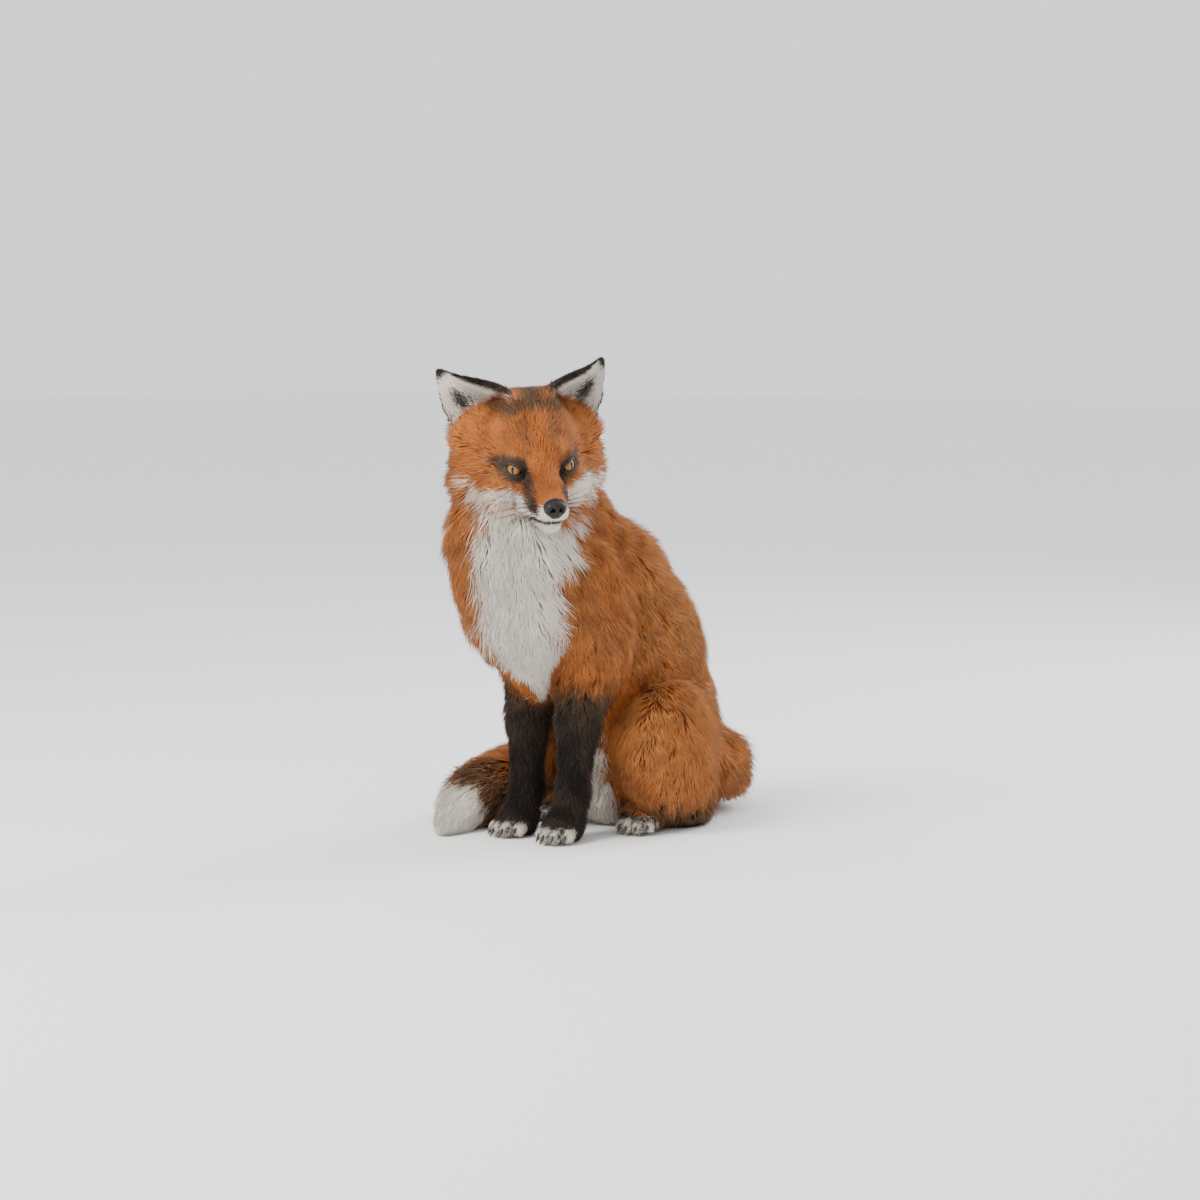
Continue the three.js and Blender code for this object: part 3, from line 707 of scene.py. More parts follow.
def refined(mesh):
    """Splits the faces of the eyes' surrounds, lips and muzzle twice over and shapes them."""
    for level in range(2):
        q = to_head(points_of(mesh))
        edit = bmesh.new()
        edit.from_mesh(mesh)
        edit.faces.ensure_lookup_table()
        corners = np.array([[v.index for v in f.verts][:3] for f in edit.faces])
        centre = q[:, corners].mean(2)
        above, there = mouth_gap(centre)
        near = (np.abs(above) < NEAR_MOUTH[level]) & (there > 0.02) & (centre[0] > MOUTH_END)
        near |= (by_eye(centre) < NEAR_EYE[level]) | ((level == 0) & (centre[0] > MUZZLE_START))
        edges = {e for i in np.nonzero(near)[0] for e in edit.faces[i].edges}
        bmesh.ops.subdivide_edges(edit, edges=list(edges), cuts=1, use_grid_fill=True)
        edit.to_mesh(mesh)
        edit.free()
    p = points_of(mesh)
    q = to_head(p)
    head = (q[0] > FACE_START) & (np.abs(q[1:]).max(0) < FACE_HALF)
    p[:, head] = drawn_in(skin_field, p[:, head])
    q[:, head] = shape_mouth(to_head(p[:, head]))
    eyes = by_eye(q) < 3 * EYE_RADIUS
    q[:, eyes], _ = shape_lids(q[:, eyes])
    touched = head | eyes
    p[:, touched] = from_head(q[:, touched])
    mesh.vertices.foreach_set("co", to_row(p).astype(np.float32).ravel())
    mesh.update()


def unwrapped(made):
    """The skin's own unwrap, which places each tuft's patch too."""
    bpy.context.view_layer.objects.active = made
    made.select_set(True)
    bpy.ops.object.mode_set(mode="EDIT")
    bpy.ops.mesh.select_all(action="SELECT")
    made.data.uv_layers.new(name="OFBake")
    bpy.ops.uv.smart_project(angle_limit=1.15, island_margin=0.004)
    bpy.ops.object.mode_set(mode="OBJECT")
    made.select_set(False)


# ---- Markings ----


def near_segment(p, a, b):
    return taper(p, a, b, 0.01, 0.011)


# The face's white by place along the head: how far above the head's middle it reaches.
WHITE_PLACES = [-60, -40, -20, 0, 20, 40, 60, 80, 92, 104]
WHITE_HEIGHTS = [-52, -36, -20, -12, -10, -12, -17, -21, -20, -15]
# The bib by height: its middle and half its width, in degrees round from the front of the chest.
BIB_HEIGHTS = [120, 142, 185, 235, 277, 320, 350]
BIB_MIDDLES = [33, 33, 29, 29, 29, 31, 33]
BIB_HALVES = [6, 13, 28, 35, 37, 35, 33]
CHEST_HEIGHTS, CHEST_MIDDLES = [142, 254, 345], [-80, -105, -112]  # what it goes round, in Y


def white_marks(p, q, m, shares, wander):
    """White cheeks, lips, throat, bib and belly."""
    face = share_of(shares, *FACE)
    edge = np.interp(q[0], WHITE_PLACES, WHITE_HEIGHTS)
    # The head is turned to its left, and below that cheek the white gives way early to the neck's red:
    # painted shade under that cheek, on that side only.
    shaded_neck_side = ramp(-36, -56, q[2]) * (q[1] > 0)
    inside = ramp(66, 54, m[1] + 0.4 * wander + 36 * shaded_neck_side)
    cheeks = face * ramp(edge + 3, edge - 3, q[2] + 0.7 * wander)
    throat = ramp(-40, -48, q[2]) * ramp(-86, -72, q[2]) * ramp(-40, -10, q[0])
    throat = throat * (face + share_of(shares, "neck"))
    chest = np.interp(p[2], CHEST_HEIGHTS, CHEST_MIDDLES)
    turn = np.degrees(np.arctan2(p[0] + 4, chest - p[1]))
    middle, half = [np.interp(p[2], BIB_HEIGHTS, values) for values in (BIB_MIDDLES, BIB_HALVES)]
    bib = (1 - face) * ramp(6, -6, np.abs(turn - middle) - half + 1.8 * wander) * ramp(112, 130, p[2])
    belly = 0.8 * share_of(shares, "belly") * ramp(40, 20, np.abs(p[0]) + wander)
    return most(cheeks * inside, throat * inside, bib, belly)


def face_darks(q, m, shares, wander):
    """Dark eye surrounds, tear marks, lips, brows, crest and ruff."""
    out, across, up = eye_axes()
    x, y, front = [dot(m - column(*EYE_PLACE), axis) for axis in (across, up, out)]
    eyes = 0.96 * ramp(5.5, -3.5, beyond_almond(x, y, 23, 11.5, 10.5) + wander * 0.6) * ramp(-16, -8, front)
    tears = 0.9 * ramp(14, 4, near_segment(m, (50, 15, -2), (84, 12, -22)) + wander * 0.7)
    above, there = mouth_gap(q)
    lips = 0.95 * there * ramp(3.4, 2.0, np.abs(above + 0.5))
    brows = 0.5 * ramp(11, 4, near_segment(m, (45, 12, 19), (20, 15, 55)) + wander * 0.4)
    ruff = 0.45 * ramp(58, 68, m[1] + wander) * ramp(20, 0, q[2])
    face = share_of(shares, *FACE) * most(eyes, tears, lips, brows, ruff)
    crest = ramp(38, 52, q[2] + wander * 0.5) * ramp(34, 16, q[0] + wander * 0.5)
    return most(face, 0.85 * crest * share_of(shares, "crown", "neck"))


def leg_marks(p, shares, wander):
    """Black stockings, hind feet and lower edge of the haunch, and pale toe tips."""
    legs = share_of(shares, "foreleg", "forepaw", "shoulder") * ramp(196, 146, p[2] + wander * 2.5)
    haunch = 0.85 * share_of(shares, "haunch", "back") * ramp(62, 24, p[2] + wander * 2)
    dark = most(legs, 0.95 * share_of(shares, "hindfoot"), haunch)
    toes = 0
    for foot in FEET:
        beside, ahead = off_foot(p, foot)
        gap = bell((np.abs(beside) - TOE_GAP) / 2) + bell(beside / 2)
        tip = ramp(12, 21, ahead + 0.4 * np.abs(beside) + wander * 0.7) * ramp(28, 22, np.abs(beside))
        toes = np.maximum(toes, tip * (1 - 0.8 * gap))
    feet = share_of(shares, "forepaw", "hindfoot") * ramp(27, 21, p[2])
    return dark * (1 - 0.95 * toes * feet * ramp(21, 14, p[2] + wander * 0.7)), feet


def tail_marks(p, shares, wander):
    """A dark band and a white tip."""
    _, along = tail_form(p)
    tip = ramp(0.75, 0.79, along + wander * 0.006)
    band = 0.7 * ramp(0.56, 0.72, along + wander * 0.01) * (1 - tip)
    tail = share_of(shares, "tail", "brush")
    return tail * band, tail * tip


def ear_marks(m, shares, wander):
    """Black backs and edges, painted shade deep in the cups, and pale insides."""
    ear = ear_shape(m)
    share, around, behind = ear["share"], ear["around"], ear_back(ear)
    edges = most(ramp(-0.7, -0.82, around), ramp(0.8, 0.91, around), ramp(0.82, 0.92, share))
    # Painted shade: a dark band down each ear's cup, a little towards its outer edge, where the hollow lies
    # in shadow.
    hollow = 0.9 * bell((around - 0.15) / 0.33) * ramp(0.12, 0.25, share) * ramp(0.86, 0.6, share)
    back = behind * ramp(0.2, 0.36, share + wander * 0.01)
    ears = share_of(shares, "ear")
    dark = ears * most(back, edges * ramp(0.14, 0.28, share), hollow * (1 - behind))
    return dark, ears * (1 - behind) * 0.9


def markings(p, shares):
    """How black, how white where it isn't black, and how grizzled the coat is, each from 0 to 1; the black
    and white carry some painted shade too, in the ears' cups and below the left cheek.
    """
    q = to_head(p)
    m = folded(q, 1)
    wander = ripple(p, 22, 1) * 3 + ripple(p, 7, 2) * 1.5
    body = (1 - share_of(shares, "ear")) * (1 - share_of(shares, "tail", "brush"))
    leg_dark, feet_pale = leg_marks(p, shares, wander)
    tail_dark, tail_pale = tail_marks(p, shares, wander)
    ear_dark, ear_pale = ear_marks(m, shares, wander)
    pale = most(white_marks(p, q, m, shares, wander) * body, feet_pale * body, tail_pale + ear_pale)
    dark = most(face_darks(q, m, shares, wander) * body, leg_dark * body, tail_dark + ear_dark)
    grizzle = share_of(shares, "back", "tail") * 0.75 + share_of(shares, "neck", "shoulder") * 0.5
    grizzle = grizzle + share_of(shares, "haunch") * 0.55 + share_of(shares, "crown", "cheek") * 0.25
    return dark, pale, grizzle * (1 - pale)


# ---- Lie of the coat ----

WAYS = {name: (0, 0.12, -1) for name in REGIONS}
WAYS |= {"neck": (0, 0.28, -1), "bib": (0, 0.35, -1), "back": (0, 0.5, -0.85), "forepaw": (0.05, -0.8, -0.5)}


def on_both_sides(way, q):
    """A direction given for the head's left side, turned round for points on its right."""
    sign = np.sign(q[1])
    return HEAD_AXES @ np.stack([way[0] * np.ones_like(sign), way[1] * sign, way[2] * np.ones_like(sign)])


def face_way(q, pull):
    """Back from the nose, with a pull of its own, along the lips, and round the eyes, not over them."""
    way = unit(unit(q - column(106, 0, -17)) + column(*pull))
    above, there = mouth_gap(q)
    way[2] *= 1 - there * ramp(7, 2, np.abs(above))
    way = unit(way)
    to_eye = unit(column(*EYE_PLACE) - folded(q, 1))
    to_eye[1] *= np.sign(q[1])
    towards = np.maximum(dot(way, to_eye), 0) * ramp(26, 13, by_eye(q))
    return HEAD_AXES @ (way - 1.25 * to_eye * towards)


def lie_direction(p, shares):
    """The way that the fur points at each place, before it is laid along the skin."""
    q = to_head(p)
    side = np.sign(p[0])
    ways = {name: column(*way) * np.ones_like(p) for name, way in WAYS.items()}
    ways["muzzle"] = face_way(q, (-0.1, 0, 0))
    ways["crown"] = face_way(q, (-0.1, 0, 0.15))
    ways["cheek"] = face_way(q, (-0.25, 0, -0.5))
    hair = ear_hair(q, shares) / np.maximum(share_of(shares, "ear"), 0.05)
    ways["ear"] = on_both_sides(mix(EAR_ALONG, EAR_SIDE + 0.7 * EAR_ALONG + 0.3 * EAR_OPENS, hair), q)
    top = column(1, 0, 0) * side * HAUNCH_TOP[0] + column(0, *HAUNCH_TOP[1:])
    ways["haunch"] = unit(p - top) + column(0, 0.1, -0.25)
    ways["hindfoot"] = column(0.25, 0, 0) * side + column(0, -1, -0.25)
    _, along = tail_form(p)
    tangents = unit(np.gradient(TAIL_POINTS, axis=0).T)
    ways["tail"] = ways["brush"] = tangents[:, np.round(along * TAIL_STEPS).astype(int)]
    return sum(unit(ways[name]) * shares[i] for i, name in enumerate(REGIONS))


def evened(values, links, passes):
    """Vertex values, averaged with their neighbours'."""
    count = np.bincount(links.ravel(), minlength=values.shape[1]) + 1
    for _ in range(passes):
        total = values.copy()
        for a, b in (links.T, links.T[::-1]):
            for row in range(len(values)):
                total[row] += np.bincount(a, values[row][b], values.shape[1])
        values = total / count
    return values


# ---- Tufts ----

PATCH = 0.003  # a tuft's share of the unwrap
LOCK = 15.0  # size of the locks that the long fur falls into
LOCK_PULL = 0.42
RING_SHARES = (0, 0.42, 1)
RING_SWELL = (0.6, 1.0)
SECTION = [(-0.5, -0.10), (0.5, -0.10), (0.0, 0.26)]  # across and out, in widths
SECTION_ACROSS = [0.0, 1.0, 0.5]
LOWEST = 0.7
GUARD_HAIRS = 0.07  # share of tufts that stand longer and finer than the rest
TIDY_TAIL, TIDY_BRUSH = 0.55, 0.85  # how much less the tail's tufts stray from its length
STRAY = 1.2  # mm by which the markings' edges are broken up
DITHER = 0.28


def locks(p):
    """For each root, the way to the middle of its lock, and two numbers from 0 to 1 that the lock shares."""
    cell = np.floor(p / LOCK)
    best = np.full(p.shape[1], 1e9)
    pull, own = np.zeros_like(p), np.zeros((2, p.shape[1]))
    for i in np.ndindex(3, 3, 3):
        c = cell + column(*i) - 1
        key = c[0] * 127.1 + c[1] * 311.7 + c[2] * 74.7
        draws = [np.sin(key * k) * 43758.5453 % 1 for k in (1.0, 1.7, 2.3, 3.1, 4.3)]
        away = (c + np.stack(draws[:3])) * LOCK - p
        far = dot(away, away)
        pull, own = np.where(far < best, away, pull), np.where(far < best, np.stack(draws[3:]), own)
        best = np.minimum(best, far)
    return pull, own[0], own[1]


def paths(p, way, settings, shares, draws):
    """Middle of each tuft at its rings, from root to tip, with its sideways and outward directions."""
    lift, length, _, _ = settings
    n = p.shape[1]
    loose = 1 - TIDY_TAIL * shares[TAIL] - TIDY_BRUSH * shares[BRUSH]
    overhang = ramp(-0.35, -0.85, unit(slope(skin_field, p))[2])
    length = length * (1 - 0.5 * overhang)
    pull, tall, lean = locks(p)
    soft = ramp(9, 22, length)
    guard = draws.uniform(0, 1, n) < GUARD_HAIRS
    length = length * draws.uniform(0.75, 1.15, n) * mix(1, mix(0.85, 1.15, tall), soft)
    lift = lift * draws.uniform(0.72, 1.08, n) * mix(1, mix(0.72, 1.2, tall), soft)
    length, lift = length * np.where(guard, 1.15, 1), lift * np.where(guard, 1.3, 1)
    bend = loose * (draws.normal(0, 0.12, n) + (lean - 0.5) * 0.45 * soft)
    pull = pull * soft * LOCK_PULL * loose
    base = skin_field(p)
    points, sideways, outward = [], [], []
    here = p
    for share, reach in zip(RING_SHARES, np.diff(RING_SHARES, append=1)):
        out = unit(slope(skin_field, here))
        height = base + mix(-0.5, lift, share**1.15)
        here = here + out * np.clip(height - skin_field(here), -8, 8)
        here[2] = np.maximum(here[2], LOWEST)
        way = laid_along(way, out)
        side = np.cross(out.T, way.T).T
        points.append(here)
        sideways.append(side)
        outward.append(out)
        way = way + side * bend
        here = here + (way * length + pull - out * dot(pull, out)) * reach
    return points, sideways, outward


def tuft_mesh(points, sideways, outward, width):
    """Closed three-sided spikes: points, faces, and each vertex's share along and across its tuft."""
    rings = len(points) - 1
    parts = []
    for ring in range(rings):
        for across, up in SECTION:
            offset = (sideways[ring] * across + outward[ring] * up) * width * RING_SWELL[ring]
            parts.append(points[ring] + offset)
    parts.append(points[rings])
    verts = np.stack(parts, 2)  # axis, tuft, vertex
    n, per = verts.shape[1], verts.shape[2]
    last = (rings - 1) * 3
    faces = [(2, 1, 0)] + wall(rings, 3) + [(last + a, last + (a + 1) % 3, last + 3) for a in range(3)]
    faces = (np.arange(n)[:, None, None] * per + np.array(faces)[None]).reshape(-1, 3)
    along = np.append(np.repeat(RING_SHARES[:-1], 3), 1.0)
    across = np.append(np.tile(SECTION_ACROSS, rings), 0.5)
    return verts.reshape(3, -1), faces, along, across


def roots_on(triangles, p, weight, draws):
    """Evenly spread places on triangles, with so many on each as its weight: triangle and corner shares."""
    a, b, c = [p[:, triangles[:, i]] for i in range(3)]
    area = np.linalg.norm(np.cross((b - a).T, (c - a).T), axis=1) / 2
    total = np.cumsum(area * weight)
    n = int(total[-1])
    picks = (np.arange(n) + draws.uniform(0, 1, n)) * (total[-1] / n)
    which = np.minimum(np.searchsorted(total, picks), len(triangles) - 1)
    u, v = draws.uniform(0, 1, (2, n))
    root = np.sqrt(u)
    return which, np.stack([1 - root, root * (1 - v), root * v])


def bare(p):
    """Where the skin is bare, rests on the floor, or the fur would cover an eye, the nose or the lips."""
    q = to_head(p)
    _, edge = shape_lids(q)
    above, there = mouth_gap(q)
    lips = (np.abs(above - 0.3) < 1.5) & (there > 0.3)
    return (edge < 0.7) | lips | (pad_form(q, folded(q, 1)) < 0.4) | (p[2] < 1.5)


def grow(name, chosen, skin, slot, material, seed):
    """One coat piece: tufts on the chosen triangles."""
    draws = np.random.default_rng(seed)
    triangles, uv = skin["triangles"][chosen], skin["uv"][chosen]
    which, corner = roots_on(triangles, skin["p"], skin["weight"][chosen], draws)
    at = triangles[which]
    spread = lambda values: sum(values[..., at[:, i]] * corner[i] for i in range(3))
    p = spread(skin["p"]).astype(np.float32)
    keep = ~bare(p)
    p, which, corner, at = p[:, keep], which[keep], corner[:, keep], at[keep]
    way = spread(skin["way"]).astype(np.float32)
    shares = lie_of(p)[0]
    settings = coat_settings(p, shares)
    width = settings[2] * draws.uniform(0.75, 1.25, p.shape[1])
    points, sideways, outward = paths(p, way, settings, shares, draws)
    verts, faces, along, across = tuft_mesh(points, sideways, outward, width)
    made = made_object(name, to_row(verts), faces, material)
    n, per = p.shape[1], len(along)
    stray = draws.normal(0, STRAY, p.shape).astype(np.float32) * (1 - 0.85 * share_of(shares, "ear"))
    dark, pale, grizzle = markings(p + stray, shares)
    dark, pale = [ramp(0.25, 0.75, value + draws.uniform(-DITHER, DITHER, n)) for value in (dark, pale)]
    # Painted highlight: tufts on the haunch grow paler and buffer towards its top, where the light falls on
    # it; partly a real paler haunch.
    light = 0.5 + 0.3 * share_of(shares, "haunch") * ramp(50, 100, p[2])
    shade = np.clip(light + 0.3 * ripple(p, 26, 3) + draws.uniform(-0.4, 0.4, n), 0, 1)
    each = {"dark": dark, "pale": pale, "grizzle": grizzle, "shade": shade}
    each = {key: np.repeat(values, per) for key, values in each.items()}
    add_values(made.data, along=np.tile(along, n), **each)
    root_uv = sum(uv[which][:, i] * corner[i][:, None] for i in range(3))
    root_uv = np.clip(root_uv, PATCH / 2, 1 - PATCH / 2)
    patch = np.stack([np.tile(across, n), np.tile(along, n)], 1) - 0.5
    vertex_uv = np.repeat(root_uv, per, axis=0) + patch * PATCH
    layer = made.data.uv_layers.new(name="OFBake")
    layer.data.foreach_set("uv", vertex_uv[faces.ravel()].astype(np.float32).ravel())
    placed(made, slot)


# ---- Materials ----


def new_material(name):
    material = bpy.data.materials.new(name)
    material.use_nodes = True
    tree = material.node_tree
    return material, tree, tree.nodes["Principled BSDF"]


def set_inputs(shader, **values):
    """Sets sockets by their names, with underlines for the spaces."""
    for name, value in values.items():
        shader.inputs[name.replace("_", " ")].default_value = value


def add_node(tree, kind, inputs=(), **settings):
    """A node with its settings and with each input linked to a socket or set to a number."""
    made = tree.nodes.new("ShaderNode" + kind)
    for name, value in settings.items():
        setattr(made, name, value)
    for key, value in dict(inputs).items():
        if isinstance(value, bpy.types.NodeSocket):
            tree.links.new(value, made.inputs[key])
        else:
            made.inputs[key].default_value = value
    return made


def value_of(tree, name):
    return add_node(tree, "Attribute", attribute_name=name).outputs["Fac"]


def maths(tree, operation, *values):
    return add_node(tree, "Math", enumerate(values), operation=operation).outputs[0]


def product(tree, first, *rest):
    for value in rest:
        first = maths(tree, "MULTIPLY", first, value)
    return first


def blended(tree, share, a, b):
    """Colour a turning into b by share; each colour is a socket or three numbers."""
    full = lambda c: c if isinstance(c, bpy.types.NodeSocket) else (*c, 1)
    return add_node(tree, "Mix", {0: share, 6: full(a), 7: full(b)}, data_type="RGBA").outputs[2]


def between(tree, low, high, value):
    inputs = {"Value": value, "From Min": low, "From Max": high}
    return add_node(tree, "MapRange", inputs, interpolation_type="SMOOTHSTEP").outputs[0]


def noise_at(tree, scale, detail):
    """A noise over space, scale in cycles per metre."""
    place = add_node(tree, "NewGeometry").outputs["Position"]
    return add_node(tree, "TexNoise", {"Vector": place, "Scale": scale, "Detail": detail}).outputs["Fac"]


RED, DEEP_RED, BUFF = (0.47, 0.115, 0.014), (0.27, 0.056, 0.007), (0.62, 0.27, 0.07)
WHITE, CREAM = (0.86, 0.82, 0.75), (0.70, 0.60, 0.47)
BLACK, SOOT = (0.010, 0.008, 0.007), (0.075, 0.048, 0.034)
# The underfur's colours, which also stand for painted shade among the tufts' roots.
SHADED_UNDERFUR, SHADED_PALE_UNDERFUR = (0.15, 0.07, 0.033), (0.46, 0.40, 0.34)
BANDED = (0.68, 0.40, 0.17)  # the pale ring below a guard hair's dark tip
DARK_LEATHER, LEATHER = (0.008, 0.007, 0.007), (0.03, 0.022, 0.02)
DEEP_AMBER, AMBER, GOLD = (0.14, 0.038, 0.002), (0.42, 0.15, 0.008), (0.38, 0.17, 0.012)
IRIS_RIM, PUPIL = (0.012, 0.008, 0.006), (0.002, 0.002, 0.002)


def coat_colour(tree, shade):
    """The coat's colour from the markings, before anything that runs along a tuft."""
    red = blended(tree, between(tree, 0.35, 0.7, noise_at(tree, 45, 3)), RED, DEEP_RED)
    red = blended(tree, product(tree, shade, 0.32), red, BUFF)
    pale = blended(tree, product(tree, shade, 0.6), WHITE, CREAM)
    dark = blended(tree, product(tree, shade, shade), BLACK, SOOT)
    colour = blended(tree, value_of(tree, "pale"), red, pale)
    return blended(tree, value_of(tree, "dark"), colour, dark)


def underfur_with_root_shade(tree):
    """The soft fur below the guard hairs, partly its real colour and partly painted shade at the tufts'
    roots: grey-brown, and pale or black below such parts.
    """
    soft = blended(tree, value_of(tree, "pale"), SHADED_UNDERFUR, SHADED_PALE_UNDERFUR)
    return blended(tree, value_of(tree, "dark"), soft, BLACK)


def coat_material():
    material, tree, shader = new_material("fox_coat")
    shade, along, grizzle = [value_of(tree, name) for name in ("shade", "along", "grizzle")]
    # Painted shade: each tuft darkens towards its root into the underfur's colour, partly the real grey
    # underfur and partly painted occlusion between the tufts.
    root = product(tree, between(tree, 0.45, 0.0, along), 0.8)
    colour = blended(tree, root, coat_colour(tree, shade), underfur_with_root_shade(tree))
    ring = product(tree, between(tree, 0.35, 0.6, along), between(tree, 0.9, 0.75, along), grizzle, 0.4)
    colour = blended(tree, ring, colour, BANDED)
    tip = product(tree, between(tree, 0.62, 0.9, along), grizzle, maths(tree, "LESS_THAN", shade, 0.5), 0.85)
    tree.links.new(blended(tree, tip, colour, SOOT), shader.inputs["Base Color"])
    set_inputs(shader, Roughness=0.6, Specular_IOR_Level=0.18)
    return material


def bumped(tree, shader, scale, height, distance):
    """Gives the surface a fine noise, and returns the noise."""
    noise = noise_at(tree, scale, 4)
    bump = add_node(tree, "Bump", {"Height": noise, "Strength": height, "Distance": distance})
    tree.links.new(bump.outputs[0], shader.inputs["Normal"])
    return noise


def skin_material():
    material, tree, shader = new_material("fox_skin")
    grain, naked = noise_at(tree, 900, 2), value_of(tree, "naked")
    # Painted shade: the skin is the coat's colour darkened halfway to the underfur's, so that gaps between
    # the tufts read as shadowed depth.
    colour = blended(tree, 0.5, coat_colour(tree, grain), underfur_with_root_shade(tree))
    colour = blended(tree, naked, colour, blended(tree, grain, DARK_LEATHER, LEATHER))
    tree.links.new(colour, shader.inputs["Base Color"])
    roughness = maths(tree, "SUBTRACT", 0.85, product(tree, naked, 0.35))
    tree.links.new(roughness, shader.inputs["Roughness"])
    bumped(tree, shader, 1400, 0.5, 0.0006)
    return material


def eye_material():
    material, tree, shader = new_material("fox_eye")
    x, y = value_of(tree, "gaze_x"), value_of(tree, "gaze_y")
    r = maths(tree, "SQRT", maths(tree, "ADD", product(tree, x, x), product(tree, y, y)))
    angle = maths(tree, "ARCTAN2", y, x)
    spoke = add_node(tree, "CombineXYZ", {0: product(tree, angle, 9.0), 1: product(tree, r, 0.5)}).outputs[0]
    fibres = add_node(tree, "TexNoise", {"Vector": spoke, "Scale": 1.6, "Detail": 4}).outputs["Fac"]
    iris = blended(tree, between(tree, 0.35, 0.7, fibres), DEEP_AMBER, AMBER)
    iris = blended(tree, between(tree, 4.6, 1.5, r), iris, GOLD)
    iris = blended(tree, between(tree, 5.6, 6.6, r), iris, IRIS_RIM)
    wide, tall = [maths(tree, "POWER", maths(tree, "DIVIDE", *pair), 2.0) for pair in ((x, 1.5), (y, 3.5))]
    pupil = between(tree, 1.25, 0.9, maths(tree, "ADD", wide, tall))
    tree.links.new(blended(tree, pupil, iris, PUPIL), shader.inputs["Base Color"])
    set_inputs(shader, Roughness=0.3, Specular_IOR_Level=0.05, Coat_Weight=0.75, Coat_Roughness=0.02)
    return material


def plain_material(name, light, deep, roughness, scale, height, coat=0.0):
    """A material of two mottled colours with a fine bump."""
    material, tree, shader = new_material(name)
    noise = bumped(tree, shader, scale, height, 0.0004)
    tree.links.new(blended(tree, noise, deep, light), shader.inputs["Base Color"])
    set_inputs(shader, Roughness=roughness, Specular_IOR_Level=0.25, Coat_Weight=coat, Coat_Roughness=0.2)
    return material


# ---- Eyes, nose, claws and whiskers ----

EYE_RINGS, EYE_SEGMENTS = 48, 72
EYE_GAP, CORNEA_HEIGHT = 0.25, 0.35  # the eyeball below its lids, and its clear front above it
RIM_RADIUS, RIM_HEIGHT = 0.55, 0.45
CLAW_RADIUS, WHISKER_RADIUS = 2.5, 0.2


def tube(path, radii, sides, flat=1.0, closed=False):
    """A tube along points in rows: its vertices in rows and its triangles."""
    path = np.asarray(path, float)
    count = len(path)
    ahead = np.roll(path, -1, 0) - np.roll(path, 1, 0) if closed else np.gradient(path, axis=0)
    ahead /= np.linalg.norm(ahead, axis=1)[:, None]
    side = np.cross(ahead, (0.02, 0.05, 1.0))
    side /= np.linalg.norm(side, axis=1)[:, None]
    over = np.cross(side, ahead)
    turns = np.linspace(0, 2 * math.pi, sides, endpoint=False)[None, :, None]
    rim = np.cos(turns) * side[:, None] * flat + np.sin(turns) * over[:, None]
    verts = (path[:, None] + rim * np.asarray(radii)[:, None, None]).reshape(-1, 3)
    faces = wall(count, sides, closed)
    if not closed:
        faces += [(0, a + 1, a) for a in range(1, sides - 1)]
        last = (count - 1) * sides
        faces += [(last, last + a, last + a + 1) for a in range(1, sides - 1)]
    return verts, np.array(faces)[:, ::-1]


def gathered(parts):
    """Several lots of vertices and triangles as one."""
    verts, faces, count = [], [], 0
    for v, f in parts:
        verts.append(v)
        faces.append(f + count)
        count += len(v)
    return np.vstack(verts), np.vstack(faces)


def add_eye(side, material):
    out, across, up = [axis.ravel() for axis in eye_axes()]
    c, s = cos_sin(-EYE_SLANT_DEG)
    level = across * c + up * s
    upright = np.cross(out, level)
    ways = [out]
    for a in np.linspace(0, math.pi, EYE_RINGS + 1)[1:-1]:
        for b in np.linspace(0, 2 * math.pi, EYE_SEGMENTS, endpoint=False):
            ways.append(out * math.cos(a) + (level * math.cos(b) + upright * math.sin(b)) * math.sin(a))
    ways = np.array([*ways, -out])
    bulge = CORNEA_HEIGHT * np.clip((ways @ out - 0.78) / 0.22, 0, 1) ** 0.8
    verts = ways * (EYE_RADIUS - EYE_GAP + bulge)[:, None]
    gaze = verts @ level, verts @ upright
    faces = wall(EYE_RINGS - 1, EYE_SEGMENTS)
    last = (EYE_RINGS - 2) * EYE_SEGMENTS
    for a in range(EYE_SEGMENTS):
        b = (a + 1) % EYE_SEGMENTS
        faces += [(b, a, -1), (last + a, last + b, last + EYE_SEGMENTS)]
    faces = (np.array(faces) + 1)[:, :: -SIDES[side]]
    verts = (verts + EYE_PLACE) * (1, SIDES[side], 1)
    made = made_object("eyeball_" + side, to_row(from_head(verts.T)), faces, material)
    hidden = np.where(ways @ out > 0, 0, 50)  # keeps the iris off the eyeball's back
    add_values(made.data, gaze_x=gaze[0] + hidden, gaze_y=gaze[1])
    placed(made, "eye", "eye_" + side)


def add_lid_rims(material):
    """The bare black edge of the lids, round each eye."""
    out, across, up = [axis.ravel() for axis in eye_axes()]
    upper = LID_HALF_LENGTH * np.sin(np.linspace(-math.pi / 2, math.pi / 2, 31))
    lower = upper[-2:0:-1]
    x = np.append(upper, lower)
    y = np.append(UPPER_LID * arch(upper, LID_HALF_LENGTH), -LOWER_LID * arch(lower, LID_HALF_LENGTH))
    far = np.hypot(x, y)[:, None]
    sideways = x[:, None] * across + y[:, None] * up
    turn = far / EYE_RADIUS
    loop = (EYE_RADIUS + RIM_HEIGHT) * (np.cos(turn) * out + np.sin(turn) * sideways / far)
    parts = []
    for s in SIDES.values():
        verts, faces = tube((loop + EYE_PLACE) * (1, s, 1), np.full(len(loop), RIM_RADIUS), 8, closed=True)
        parts.append((verts, faces[:, ::s]))
    verts, faces = gathered(parts)
    placed(made_object("lid_rims", to_row(from_head(verts.T)), faces, material), "nose")


